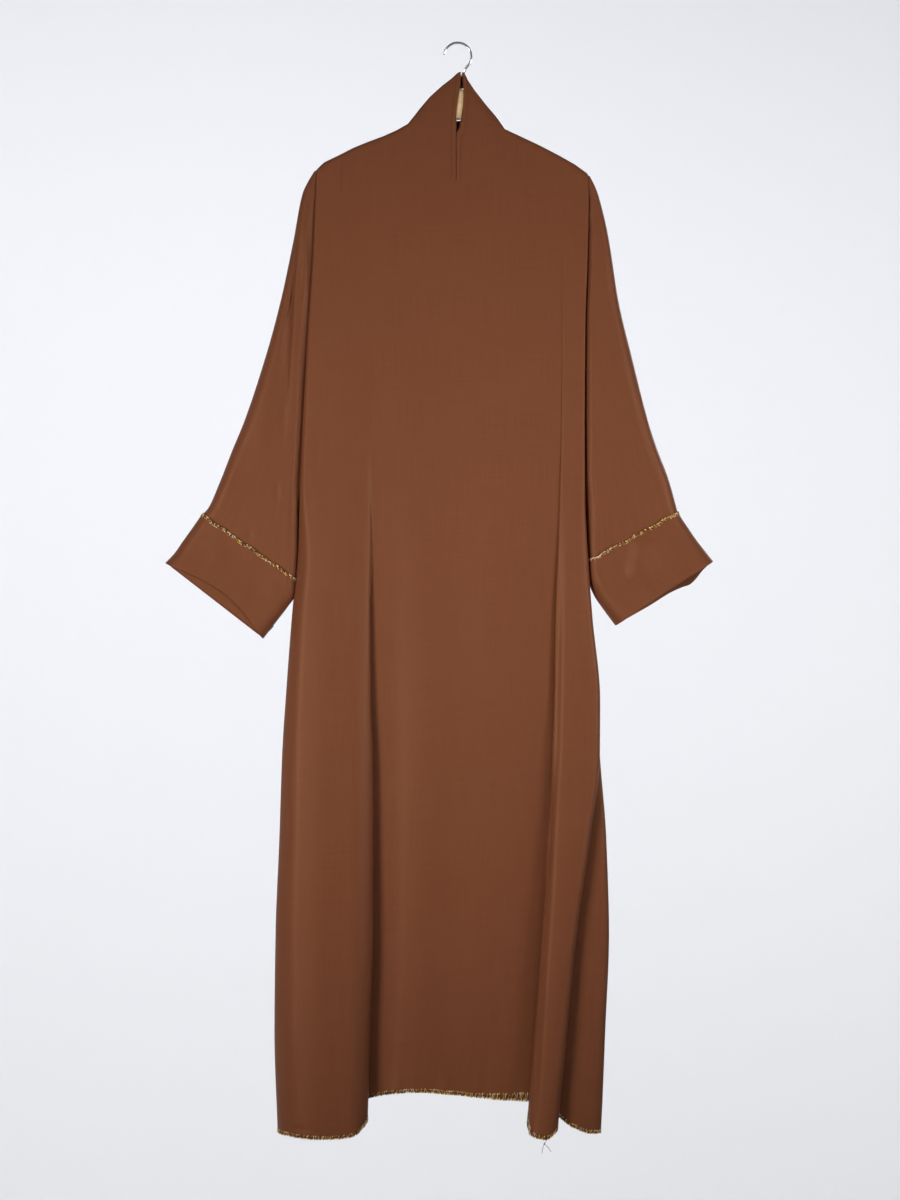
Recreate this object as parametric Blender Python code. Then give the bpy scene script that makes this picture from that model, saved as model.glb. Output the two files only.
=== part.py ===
"""A plain closed abaya hanging on a flat wooden hanger with a wire hook, at real size.

The origin is the hanging point, under the top of the hook. +Z is up and -Y is the front, and left and right
are as seen from the front. Tables hold millimetres, where `drop` is the distance below the hanging point
and a depth is the distance in front of (front cloth) or behind (back cloth) the hanger's middle plane.
The cloth pieces are open sheets on sections worked out from the tables, and a Solidify modifier gives them
their wall.
"""

import math
from collections import namedtuple

import bmesh
import bpy
import numpy as np
from mathutils import Matrix

MM = 0.001
WALL = 1.6
SEAM_GAP = 0.3
SEAM_HALF = 0.45
SEAM_CORNER_HALF = 1.5
LAYER = WALL + SEAM_GAP

# Hanger: a flat bar under the shoulder seams, with a hump that carries the hook's stem
BAR_THICKNESS = 12.0
BAR_LEFT_END = -192.5
BAR_RIGHT_END = 183.5
BAR_STATIONS = 27
BAR_EDGE_DEGREES = (0, 30, 60, 90)
BAR_CLEARANCE = 0.4
BAR_HUMP_TOP = 65.0
BAR_HUMP_HALF_WIDTH = 60.0
BAR_END_ROUNDING = 16.0
BAR_END_FALL = 7.0
BAR_MIDDLE_HEIGHT = 45.0
BAR_END_HEIGHT = 17.0
BAR_TAPER = 1.2
STEM_X = 3.0
STEM_IN_BAR = 22.0
STEM_CLEARANCE = 0.3
STEM_CUTTER_EXTRA = 10.0
STEM_BENDS = ((3.0, -62.0), (4.5, -53.0), (8.0, -44.0))
WIRE_RADIUS = 1.7
HOOK_CENTRE_X = 1.0
HOOK_RADIUS = 20.0
HOOK_START_DEGREES = 168.0
HOOK_END_DEGREES = -48.0
HOOK_STEP_DEGREES = 12.0

# Over the bar the cloth turns from the seam on top to the front or back face
OVER_BAR = BAR_THICKNESS / 2 + SEAM_GAP + WALL / 2
SLEEVE_OVER_BAR = OVER_BAR - LAYER
OVER_BAR_STEPS = 5
SLEEVE_OVER_BAR_DEGREES = (math.degrees(SEAM_HALF / SLEEVE_OVER_BAR), 15, 35, 60)

# At the drawn-up neck the cloth leans back from the bar's face to the stem
AT_STEM = 2.4
LEAN_TOP = 44.0

# Neck: the front neckline is drawn up onto the hook's stem, and a slit runs down from it
NECK_LEFT = -71.0
NECK_RIGHT = 69.5
SLIT_TOP = 51.0
SLIT_BOTTOM = 196.0
BACK_NECK_DEPTH = 27.0

CLOTH_BROWN = (0.168, 0.061, 0.024)
WOOD_BEIGE = (0.76, 0.52, 0.26)
CHROME_GREY = (0.80, 0.80, 0.82)

# The top edge of the front as (x, drop): shoulder seams outside the neck points, drawn-up neckline between
TOP_EDGE = (
    (-202, 180.6), (-193, 171.5), (-171, 161), (-151, 152), (-129, 143.5), (-107, 135.5), (-87, 126.5),
    (-71, 117.5), (-50, 93), (-36, 76.5), (-19, 60.5), (-7, 51.5), (3, 41.5), (10, 40.8), (15, 52), (25, 67),
    (42, 88.5), (58, 107.5), (69.5, 125.5), (90, 135), (120, 148.5), (149, 162), (171, 174.5), (188, 187),
)

# One row for each height at which the body's section is set. The left roll runs from left_edge to
# left_groove, the right roll from right_groove to right_fold, and the cloth behind it comes out again to
# outer_edge. side is where the front's edge lies: in front of the middle plane (negative) along the
# armhole, and behind it at the side seam.
BodyLevel = namedtuple(
    "BodyLevel",
    "drop left_edge left_groove right_groove right_fold outer_edge crown recess side tuck back",
)
BODY_LEVELS = (
    BodyLevel(180, -202, -128, 154, 188, 188, 8.6, 8.6, -7.1, 0, 8.6),
    BodyLevel(225, -204.5, -128, 154, 190, 190, 10, 10, -7.8, 0, 10),
    BodyLevel(300, -207.5, -128, 154, 188.5, 188.5, 12, 11.5, -8.8, 0, 12),
    BodyLevel(415, -215, -128, 154, 185, 185, 15.5, 14, -10, 0, 16),
    BodyLevel(560, -223, -127, 153, 184, 184, 18.5, 16, -10.2, 0, 20),
    BodyLevel(650, -226.5, -124, 151, 184, 184, 20.5, 16.5, -10.2, 0, 22),
    BodyLevel(735, -230, -122, 148, 188, 186.5, 22, 16, 4, 2, 24),
    BodyLevel(830, -239, -123, 144, 195, 191, 24.5, 15, 6, 5, 27),
    BodyLevel(950, -248, -123, 138, 206, 202, 28, 14, 7, 9, 31),
    BodyLevel(1028, -253, -121, 135.5, 206.5, 206.5, 31, 13, 8, 11, 33),
    BodyLevel(1150, -257, -120, 130, 194, 216, 35, 11.5, 8, 12, 37),
    BodyLevel(1290, -262.5, -120, 119.5, 175.5, 220, 39, 10, 8, 12, 41),
    BodyLevel(1430, -264, -124.5, 111, 164, 214.5, 43, 9, 8, 11, 44),
    BodyLevel(1580, -259, -128, 101.5, 148, 208.5, 46, 8, 8, 10, 46),
)

# Guiding points of the front's section, each reckoned from the level's sizes. Round the left edge: shares of
# the roll's depth, inwards and forwards.
ROUND_LEFT_EDGE = ((0.06, 0.0), (0.0, 0.27), (0.24, 0.66), (0.70, 0.94))
# Down a roll's flank into its groove: millimetres out from the groove, and shares of the roll's step over the
# recess for the lean outwards and for the height.
FlankPoint = namedtuple("FlankPoint", "out lean height")
LEFT_FLANK = (FlankPoint(8, 0.36, 0.90), FlankPoint(1, 0.02, 0.50), FlankPoint(-6, 0.02, 0.10))
RIGHT_FLANK = (FlankPoint(-6, 0.02, 0.10), FlankPoint(1, 0.02, 0.50), FlankPoint(5, 0.22, 0.90))
# Round the right fold, in under it by the tuck and out again to the outer edge: how far over to the outer
# edge, the share of the tuck, the share of the depth inwards, millimetres set in, the share of the depth back.
FoldPoint = namedtuple("FoldPoint", "over tuck inwards set_in back")
RIGHT_CREST_SHIFT = 2.0
S_FOLD = (
    FoldPoint(0, 0, 0.12, 2, 0.07),
    FoldPoint(0, 0, 0, 0, 0.25),
    FoldPoint(0, 0.45, 0, 0, 0.38),
    FoldPoint(0, 1, 0, 0, 0.47),
    FoldPoint(0, 1, -0.02, 0, 0.55),
    FoldPoint(0.5, 0.5, 0, 0, 0.60),
    FoldPoint(1, 0, 0.09, 0, 0.68),
    FoldPoint(1, 0, 0, 0, 0.82),
    FoldPoint(1, 0, 0.06, 0, 1),
)

# Lines between the two grooves, as shares of the way across, with a small swell of the cloth at the hem
CentreLine = namedtuple("CentreLine", "share swell hem")
CENTRE_LINES = (
    CentreLine(0.117, 0.8, 1521.5),
    CentreLine(0.202, 1.6, 1519),
    CentreLine(0.284, 1.0, 1518),
    CentreLine(0.369, -0.6, 1518.5),
    CentreLine(0.445, -1.4, 1520),
    CentreLine(0.463, -1.4, 1520.5),
    CentreLine(0.543, -0.8, 1522),
    CentreLine(0.624, 0.6, 1524),
    CentreLine(0.700, 1.5, 1525.5),
    CentreLine(0.820, 1.0, 1528),
)
SLIT_LINE = 4
# The slit's lips as (drop, left x, right x). Below the slit the two columns go back to their own lines.
SLIT_PLACES = (
    (41, 2.8, 9.8), (51, 3.4, 8.6), (75, 1.0, 6.9), (117, -1.4, 4.6), (160, -2.4, 2.9), (196, -1.6, -0.4),
)
SLIT_RUN_OUT = 200.0
SLIT_ROW_REACH = 8.0

# Drops of the hem under the guiding points left and right of the centre lines
FRONT_HEM_LEFT = (1574, 1575, 1575, 1576, 1576, 1573, 1560, 1532)
FRONT_HEM_RIGHT = (1532, 1558, 1572, 1577, 1572, 1563, 1548, 1541, 1545, 1558, 1573, 1576, 1576)
HEM_SPACING = 10.0

# Arc lengths down the cloth from its top edge: close together over the bar and by the armhole's end. They
# are drawn out or in for each column, so that the last one is LAST_ROW above the hem.
LAST_ROW = 90.0
FRONT_STEPS = (SEAM_HALF, 1.2, 4.4, 7.6, 11.2, 24, 48, 76, 104, 132, 160, 220, 290, 370, 440, 490, 525, 560,
               620, 710, 810, 910, 1010, 1120, 1230, 1340)
BACK_STEPS = (SEAM_HALF, 1.2, 4.4, 7.6, 11.2, 24, 60, 120, 200, 290, 380, 450, 490, 525, 560, 640, 750, 870,
              1000, 1130, 1260)

# Soft folds of the back, by their place across at the hem
BackFold = namedtuple("BackFold", "share width height starts")
BACK_FOLDS = (
    BackFold(0.17, 0.055, 9, 520),
    BackFold(0.36, 0.045, -11, 640),
    BackFold(0.55, 0.060, 8, 480),
    BackFold(0.72, 0.050, -10, 600),
    BackFold(0.88, 0.045, 8, 700),
)
BACK_SIDE_COLUMNS = 11
BACK_NECK_COLUMNS = 9
NECK_STEP = 3.0
EDGE_INWARDS = 0.06
BACK_ROUNDING_SHARE = 0.8
BACK_ROUNDING_LEAST = 4.0
BACK_HEM_SIDE = 1574.0
BACK_HEM_MIDDLE = 1522.0
BACK_HEM_LEVEL = 0.35
BACK_HEM_FALLING = 0.5
BACK_HEM_POWER = 1.5

# One row for each section across a sleeve, from the shoulder to the cuff's lower edge. Up to the armhole's
# end the inner edge lies under the body's edge by underlap; from there on the sleeve is a closed tube.
SleeveRow = namedtuple("SleeveRow", "outer_x outer_drop inner_x inner_drop depth inner_depth underlap closed")
LEFT_SLEEVE = (
    SleeveRow(-207.4, 186.5, -202.0, 188.7, 5.2, 5.2, 3, 0),
    SleeveRow(-214.6, 198.0, -202.8, 205.0, 6.5, 5.3, 6, 0),
    SleeveRow(-223.6, 217.0, -203.8, 226.0, 8.5, 5.6, 8, 0),
    SleeveRow(-236.4, 282.8, -207.0, 296.0, 12, 6.6, 8, 0),
    SleeveRow(-255.4, 372.7, -211.7, 394.0, 15, 7.8, 8, 0),
    SleeveRow(-279.2, 461.0, -217.5, 494.5, 18, 8, 8, 0),
    SleeveRow(-308.4, 548.0, -222.3, 591.6, 18, 8, 8, 0),
    SleeveRow(-325.2, 588.7, -225.0, 636.0, 17.5, 8, 5, 0),
    SleeveRow(-342.2, 632.2, -231.0, 680.0, 16.5, 8, 0, 1),
    SleeveRow(-361.0, 674.0, -235.5, 742.4, 14.5, 8, 0, 1),
    SleeveRow(-368.3, 682.0, -239.0, 778.0, 13.5, 8, 0, 1),
    SleeveRow(-381.0, 700.0, -242.5, 800.0, 13.5, 8, 0, 1),
    SleeveRow(-396.0, 721.0, -248.5, 815.0, 14, 8, 0, 1),
    SleeveRow(-409.0, 739.5, -262.5, 836.7, 15, 8, 0, 1),
    SleeveRow(-421.0, 752.0, -281.0, 860.5, 16, 8, 0, 1),
)
RIGHT_SLEEVE = (
    SleeveRow(193.4, 194.5, 188.2, 195.2, 5.2, 5.2, 2.5, 0),
    SleeveRow(199.6, 206.0, 189.2, 212.0, 6.5, 5.3, 3, 0),
    SleeveRow(205.5, 222.0, 190.0, 232.0, 8.5, 5.6, 8, 0),
    SleeveRow(219.4, 281.3, 189.2, 303.0, 12, 6.6, 8, 0),
    SleeveRow(233.8, 372.7, 185.6, 400.0, 15, 7.8, 8, 0),
    SleeveRow(254.8, 461.0, 184.4, 494.5, 18, 8, 8, 0),
    SleeveRow(276.8, 548.0, 184.2, 588.7, 18, 8, 8, 0),
    SleeveRow(290.0, 588.0, 184.6, 634.0, 17.5, 8, 5, 0),
    SleeveRow(306.7, 632.2, 188.0, 678.6, 16.5, 8, 0, 1),
    SleeveRow(317.2, 670.0, 193.5, 726.5, 15, 8, 0, 1),
    SleeveRow(319.7, 679.0, 196.5, 750.0, 14, 8, 0, 1),
    SleeveRow(332.0, 699.0, 197.0, 772.0, 14, 8, 0, 1),
    SleeveRow(345.0, 718.0, 202.5, 796.0, 15, 8, 0, 1),
    SleeveRow(358.0, 735.0, 213.5, 817.5, 17, 8, 0, 1),
    SleeveRow(369.5, 749.5, 227.5, 838.5, 19, 8, 0, 1),
)
CUFF_FIRST_ROW = 10
CUFF_STAND_OFF = 2.7
CUFF_BACK_LOWER = {"left": 1.0, "right": 5.0}
SLEEVE_INSIDE_CUFF = 2.5
ROUNDING_DEGREES = (0, 22.5, 45, 67.5, 90)
ROUNDING_MOST = 0.45
SLEEVE_MIDDLE_SHARES = (0.25, 0.5, 0.75)
# Under the shoulder fold the sleeve narrows over a flank, which ends at FLANK_END of its way to the edge
FOLD_FLANK = 28.0
FLANK_MOST = 0.4
FLANK_END = 0.75


def clear_scene():
    """Removes the objects that the file opens with."""
    for old in list(bpy.data.objects):
        bpy.data.objects.remove(old, do_unlink=True)


def make_material(name, colour, roughness, metallic=0.0):
    """Returns a plain finish with the piece's colour, roughness and metallic value."""
    finish = bpy.data.materials.new(name)
    finish.use_nodes = True
    shader = finish.node_tree.nodes["Principled BSDF"]
    shader.inputs["Base Color"].default_value = (*colour, 1.0)
    shader.inputs["Roughness"].default_value = roughness
    shader.inputs["Metallic"].default_value = metallic
    finish.diffuse_color = (*colour, 1.0)
    return finish


def smooth_between(knots, values, at):
    """Reads a cubic curve through the values at the knots, which swings past none of them."""
    knots = np.asarray(knots, float)
    values = np.asarray(values, float)
    rises = (np.diff(values, axis=0).T / np.diff(knots)).T
    both = rises[:-1] * rises[1:]
    total = rises[:-1] + rises[1:]
    level = np.where(both > 0, 2 * both / np.where(total == 0, 1, total), 0.0)
    slopes = np.concatenate([rises[:1], level, rises[-1:]])
    at = np.clip(at, knots[0], knots[-1])
    first = np.clip(np.searchsorted(knots, at, side="right") - 1, 0, len(knots) - 2)
    span = knots[first + 1] - knots[first]
    s = (at - knots[first]) / span
    if values.ndim > 1:
        span = span[:, None]
        s = s[:, None]
    start = (1 + 2 * s) * (1 - s) ** 2 * values[first] + s * (1 - s) ** 2 * span * slopes[first]
    end = s * s * (3 - 2 * s) * values[first + 1] + s * s * (s - 1) * span * slopes[first + 1]
    return start + end


def curve_through(points, halves=2):
    """Returns places on a smooth curve through the points, so many for each stretch between two of them."""
    points = np.asarray(points, float)
    chords = np.sqrt(np.linalg.norm(np.diff(points, axis=0), axis=1))
    knots = np.concatenate([[0.0], np.cumsum(chords)])
    index = np.arange((len(points) - 1) * halves + 1) / halves
    return smooth_between(knots, points, np.interp(index, np.arange(len(points)), knots))


def front_section(level):
    """Returns the front cloth's guiding points (x, y) at one height, from its left edge to its right."""
    depth = level.crown + level.side
    step = level.crown - level.recess
    points = []
    for inwards, forwards in ROUND_LEFT_EDGE:
        points.append((level.left_edge + inwards * depth, level.side - forwards * depth))
    points.append(((level.left_edge + level.left_groove) / 2, -level.crown))
    for point in LEFT_FLANK:
        x = level.left_groove - point.out - point.lean * step
        points.append((x, -level.recess - point.height * step))
    width = level.right_groove - level.left_groove
    grown = level.drop / BODY_LEVELS[-1].drop
    for line in CENTRE_LINES:
        points.append((level.left_groove + line.share * width, -level.recess - line.swell * grown))
    for point in RIGHT_FLANK:
        x = level.right_groove + point.out + point.lean * step
        points.append((x, -level.recess - point.height * step))
    points.append(((level.right_groove + level.right_fold) / 2 + RIGHT_CREST_SHIFT, -level.crown))
    for point in S_FOLD:
        fold = level.right_fold + point.over * (level.outer_edge - level.right_fold)
        x = fold - point.tuck * level.tuck - point.inwards * depth - point.set_in
        points.append((x, -level.crown + point.back * depth))
    return points


def back_shares():
    """Returns the back's columns as shares of its width: close together at its edges and neck points."""
    width = BODY_LEVELS[0].right_fold - BODY_LEVELS[0].left_edge
    neck = [(x - BODY_LEVELS[0].left_edge) / width for x in (NECK_LEFT, NECK_RIGHT)]
    turn = 1 - np.cos(np.linspace(0, np.pi / 2, BACK_SIDE_COLUMNS))
    left = neck[0] * turn
    right = 1 - (1 - neck[1]) * turn[::-1]
    middle = np.linspace(neck[0] + NECK_STEP / width, neck[1] - NECK_STEP / width, BACK_NECK_COLUMNS)
    return np.concatenate([left, middle, right])


def back_section(level):
    """Returns the back cloth's places (x, y) at one height, from its left edge to its right."""
    side = -level.side if level.side < 0 else level.side + 2 * SEAM_HALF
    left = level.left_edge + EDGE_INWARDS * (level.crown + level.side)
    right = level.outer_edge - EDGE_INWARDS * (level.crown + level.side)
    turn = level.back - side
    share = back_shares()
    x = left + share * (right - left)
    reach = np.minimum(x - left, right - x)
    rounding = BACK_ROUNDING_SHARE * turn + BACK_ROUNDING_LEAST
    rounded = np.sqrt(1 - np.clip(1 - reach / rounding, 0, 1) ** 2)
    folds = np.zeros_like(x)
    for fold in BACK_FOLDS:
        grown = np.clip((level.drop - fold.starts) / (BODY_LEVELS[-1].drop - fold.starts), 0, 1)
        folds += fold.height * grown * np.exp(-(((share - fold.share) / fold.width) ** 2))
    return np.column_stack([x, side + turn * rounded + folds * rounded])


def over_the_bar(arc, radius):
    """Returns how far the cloth has come forward and down at an arc length from the seam on the bar."""
    turn = np.minimum(arc / radius, math.pi / 2)
    beyond = np.maximum(arc - radius * math.pi / 2, 0)
    return radius * np.sin(turn), radius * (1 - np.cos(turn)) + beyond


def top_edge_drop(x):
    """Returns the drop of the front's top edge at a place across."""
    places = np.array(TOP_EDGE)
    return np.interp(x, places[:, 0], places[:, 1])


def neck_chord_drop(x):
    """Returns the drop of the straight line between the two neck points at a place across."""
    return np.interp(x, (NECK_LEFT, NECK_RIGHT), top_edge_drop((NECK_LEFT, NECK_RIGHT)))


def body_grid(sections, top, hem, steps, on_bar):
    """Returns a grid of points (row, column, xyz) that hangs from the top edge to the hem.

    sections holds the places (x, y) of each column at each of the levels, top and hem its drops, and on_bar
    says whether it starts at the seam over the bar or at the neckline.
    """
    drops = np.array([level.drop for level in BODY_LEVELS], float)
    rows = []
    for column in range(sections.shape[1]):
        arcs = np.array([*steps, hem[column] - top[column]], float)
        arcs[:-1] *= (hem[column] - top[column]) / (steps[-1] + LAST_ROW)
        if on_bar[column]:
            arcs[:OVER_BAR_STEPS] = steps[:OVER_BAR_STEPS]
            ahead, down = over_the_bar(arcs, OVER_BAR)
            down[-1] = hem[column] - top[column]
        else:
            below = np.clip((top[column] + arcs - LEAN_TOP) / (BAR_HUMP_TOP - LEAN_TOP), 0, 1)
            ahead = AT_STEM + (OVER_BAR - AT_STEM) * below
            down = arcs
        place = smooth_between(drops, sections[:, column], top[column] + down)
        y = place[:, 1] * ahead / OVER_BAR
        rows.append(np.column_stack([place[:, 0], y, -top[column] - down]))
    return np.array(rows).transpose(1, 0, 2)


def front_body_grid():
    """Returns the front body's grid, the column left of the neck slit, and the rows where it is open.

    The two columns beside the slit are led along its lips.
    """
    sections = np.array([curve_through(front_section(level)) for level in BODY_LEVELS])
    hem_lines = [*FRONT_HEM_LEFT, *(line.hem for line in CENTRE_LINES), *FRONT_HEM_RIGHT]
    hem = curve_through(np.column_stack([np.arange(len(hem_lines)) * HEM_SPACING, hem_lines]))[:, 1]
    top = top_edge_drop(sections[0, :, 0]) + WALL / 2
    on_bar = (sections[0, :, 0] < NECK_LEFT + 1) | (sections[0, :, 0] > NECK_RIGHT - 1)
    grid = body_grid(sections, top, hem, FRONT_STEPS, on_bar)
    slit = 2 * (len(FRONT_HEM_LEFT) + SLIT_LINE)
    places = np.array(SLIT_PLACES)
    for column, lip in ((slit, 1), (slit + 2, 2)):
        drop = -grid[:, column, 2]
        led = np.interp(drop, places[:, 0], places[:, lip])
        keep = np.clip((drop - SLIT_BOTTOM) / SLIT_RUN_OUT, 0, 1)
        grid[:, column, 0] = led * (1 - keep) + grid[:, column, 0] * keep
    grid = np.delete(grid, slit + 1, axis=1)
    drop = -grid[:, slit, 2]
    in_slit = (drop > SLIT_TOP - SLIT_ROW_REACH) & (drop < SLIT_BOTTOM - SLIT_ROW_REACH)
    return grid, slit, in_slit


def back_body_grid():
    """Returns the back body's grid, which falls to a shallow round neck between the shoulder seams."""
    sections = np.array([back_section(level) for level in BODY_LEVELS])
    off_middle = abs(2 * back_shares() - 1)
    falling = np.clip((off_middle - BACK_HEM_LEVEL) / BACK_HEM_FALLING, 0, 1) ** BACK_HEM_POWER
    hem = BACK_HEM_MIDDLE + (BACK_HEM_SIDE - BACK_HEM_MIDDLE) * falling
    x = sections[0, :, 0]
    on_bar = (x < NECK_LEFT + 1) | (x > NECK_RIGHT - 1)
    seam = top_edge_drop(x)
    chord = neck_chord_drop(x)
    bow = 1 - ((x - (NECK_LEFT + NECK_RIGHT) / 2) / ((NECK_RIGHT - NECK_LEFT) / 2)) ** 2
    top = np.where(on_bar, seam, chord + BACK_NECK_DEPTH * np.maximum(bow, 0)) + WALL / 2
    return body_grid(sections, top, hem, BACK_STEPS, on_bar)


def sleeve_section(row, stand_off=0.0):
    """Returns the sleeve's places at one row as (along, depth): the way from its outer edge, and its depth."""
    width = math.hypot(row.inner_x - row.outer_x, row.inner_drop - row.outer_drop) + 2 * stand_off
    depth = row.depth + stand_off
    rounding = min(ROUNDING_MOST * width, depth)
    flank = min(FLANK_MOST * width, FOLD_FLANK)
    places = []
    for degrees in ROUNDING_DEGREES:
        turn = math.radians(degrees)
        places.append((rounding * (1 - math.cos(turn)), depth * math.sin(turn)))
    for share in SLEEVE_MIDDLE_SHARES:
        places.append((rounding + share * (width - 2 * rounding), depth))
    for index, degrees in enumerate(reversed(ROUNDING_DEGREES)):
        turn = math.radians(degrees)
        done = index / (len(ROUNDING_DEGREES) - 1)
        fall = min(done / FLANK_END, 1)
        under = max(0, (done - FLANK_END) / (1 - FLANK_END))
        closed_along = width - rounding * (1 - math.cos(turn))
        open_along = width - (1 - done) * flank + row.underlap * under
        open_depth = row.inner_depth + (depth - row.inner_depth) * (1 - fall * fall * (3 - 2 * fall))
        places.append((
            row.closed * closed_along + (1 - row.closed) * open_along,
            row.closed * depth * math.sin(turn) + (1 - row.closed) * open_depth,
        ))
    return np.array(places) - (stand_off, 0.0)


def sleeve_places(row, stand_off=0.0):
    """Returns the section's places as (x, drop, depth)."""
    places = sleeve_section(row, stand_off)
    outer = np.array((row.outer_x, row.outer_drop))
    across = np.array((row.inner_x, row.inner_drop)) - outer
    across /= np.linalg.norm(across)
    flat = outer + places[:, :1] * across
    return np.column_stack([flat, places[:, 1]])


def sleeve_grid(rows, face):
    """Returns the grid of a sleeve's front (face -1) or back (face 1)."""
    last = rows[-1]
    before = rows[-2]
    run = math.hypot(last.outer_x - before.outer_x, last.outer_drop - before.outer_drop)
    short = SLEEVE_INSIDE_CUFF / run
    ends = last._replace(
        outer_x=last.outer_x + (before.outer_x - last.outer_x) * short,
        outer_drop=last.outer_drop + (before.outer_drop - last.outer_drop) * short,
        inner_x=last.inner_x + (before.inner_x - last.inner_x) * short,
        inner_drop=last.inner_drop + (before.inner_drop - last.inner_drop) * short,
    )
    grid = []
    for row in (*rows[:-1], ends):
        places = sleeve_places(row)
        depth = np.maximum(places[:, 2], SEAM_HALF)
        grid.append(np.column_stack([places[:, 0], face * depth, -places[:, 1]]))
    shoulder = []
    for degrees in SLEEVE_OVER_BAR_DEGREES:
        turn = math.radians(degrees)
        lifted = np.array(grid[0])
        lifted[:, 1] = face * np.maximum(abs(lifted[:, 1]) * math.sin(turn), SEAM_HALF)
        lifted[:, 2] += SLEEVE_OVER_BAR * math.cos(turn)
        shoulder.append(lifted)
    joined = np.array(shoulder + grid)
    closing = len(shoulder) + [row.closed for row in rows].index(1)
    joined[: len(shoulder) + 1, 0, 1] = face * SEAM_CORNER_HALF
    joined[closing, -1, 1] = face * SEAM_CORNER_HALF
    return joined


def cuff_grid(rows, back_lower):
    """Returns the turned-back cuff's rings, closed round the sleeve, from its free upper edge down.

    The back of the mouth hangs lower than its front by back_lower.
    """
    down = np.array((rows[-1].outer_x - rows[-2].outer_x, 0.0, rows[-2].outer_drop - rows[-1].outer_drop))
    down /= np.linalg.norm(down)
    rings = []
    for index, row in enumerate(rows[CUFF_FIRST_ROW:]):
        places = sleeve_places(row, CUFF_STAND_OFF)
        front = np.column_stack([places[:, 0], -places[:, 2], -places[:, 1]])
        back = np.column_stack([places[:, 0], places[:, 2], -places[:, 1]])
        along = index / (len(rows) - 1 - CUFF_FIRST_ROW)
        around = places[:, 2:] / places[:, 2].max()
        back += back_lower * along * around * down
        rings.append(np.concatenate([front, back[-2:0:-1]]))
    return np.array(rings)


def add_object(name, points, faces, material):
    """Adds a mesh object from points in millimetres and returns it."""
    mesh = bpy.data.meshes.new(name)
    mesh.from_pydata([tuple(point * MM) for point in np.asarray(points)], [], faces)
    mesh.polygons.foreach_set("use_smooth", [True] * len(mesh.polygons))
    mesh.materials.append(material)
    obj = bpy.data.objects.new(name, mesh)
    bpy.context.scene.collection.objects.link(obj)
    return obj


def add_sheet(name, grid, material, ring=False, leave_out=None):
    """Adds a cloth piece: a grid of points made a sheet, with its wall to both sides of it.

    ring joins the last column to the first, and leave_out is a column and the rows where it is open.
    """
    rows, columns = grid.shape[:2]
    faces = []
    for row in range(rows - 1):
        for column in range(columns if ring else columns - 1):
            if leave_out is not None and column == leave_out[0] and leave_out[1][row]:
                continue
            beside = (column + 1) % columns
            faces.append((
                row * columns + column,
                (row + 1) * columns + column,
                (row + 1) * columns + beside,
                row * columns + beside,
            ))
    obj = add_object(name, grid.reshape(-1, 3), faces, material)
    wall = obj.modifiers.new("Wall", "SOLIDIFY")
    wall.thickness = WALL * MM
    wall.offset = 0.0
    return obj


def bar_outline(x):
    """Returns the bar's top and bottom drop at a place along it."""
    inside = abs(x - STEM_X) < abs(NECK_LEFT - STEM_X)
    seam = neck_chord_drop(x) if inside else top_edge_drop(x)
    top = seam + LAYER + BAR_CLEARANCE
    to_end = min(x - BAR_LEFT_END, BAR_RIGHT_END - x)
    top += BAR_END_FALL * max(0, 1 - to_end / BAR_END_ROUNDING) ** 2
    away = min(abs(x - STEM_X) / BAR_HUMP_HALF_WIDTH, 1)
    top -= (top - BAR_HUMP_TOP) * (1 - away * away * (3 - 2 * away))
    reach = abs(x - STEM_X) / (BAR_RIGHT_END - STEM_X)
    height = BAR_END_HEIGHT + (BAR_MIDDLE_HEIGHT - BAR_END_HEIGHT) * max(0, 1 - reach) ** BAR_TAPER
    return top, top + height


def add_bar(material, stem_cutter):
    """Adds the wooden bar, whose edges are rounded all along, with a hole for the hook's stem."""
    points = []
    half = BAR_THICKNESS / 2
    turns = np.radians(BAR_EDGE_DEGREES)
    across = np.concatenate([-half * np.sin(turns[::-1]), half * np.sin(turns[1:])])
    inset = half - np.sqrt(half**2 - across**2)
    for x in np.linspace(BAR_LEFT_END, BAR_RIGHT_END, BAR_STATIONS):
        top, bottom = bar_outline(x)
        points.extend((x, y, -top - down) for y, down in zip(across, inset))
        points.extend((x, -y, down - bottom) for y, down in zip(across, inset))
    around = len(points) // BAR_STATIONS
    faces = [tuple(range(around)), tuple(reversed(range(len(points) - around, len(points))))]
    for station in range(BAR_STATIONS - 1):
        for side in range(around):
            beside = (side + 1) % around
            faces.append((
                station * around + side,
                (station + 1) * around + side,
                (station + 1) * around + beside,
                station * around + beside,
            ))
    bar = add_object("hanger_bar", points, faces, material)
    hole = bar.modifiers.new("Stem hole", "BOOLEAN")
    hole.object = stem_cutter
    return bar


def hook_route():
    """Returns the wire's middle line, from the foot of the stem up and round to the tip."""
    centre = np.array((HOOK_CENTRE_X, WIRE_RADIUS - HOOK_RADIUS))
    route = [(STEM_X, -(BAR_HUMP_TOP + STEM_IN_BAR)), *STEM_BENDS]
    degrees = HOOK_END_DEGREES
    while degrees <= HOOK_START_DEGREES:
        turn = math.radians(degrees)
        route.append(tuple(centre + HOOK_RADIUS * np.array((math.cos(turn), math.sin(turn)))))
        degrees += HOOK_STEP_DEGREES
    return [(x, 0.0, z) for x, z in route]


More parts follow.
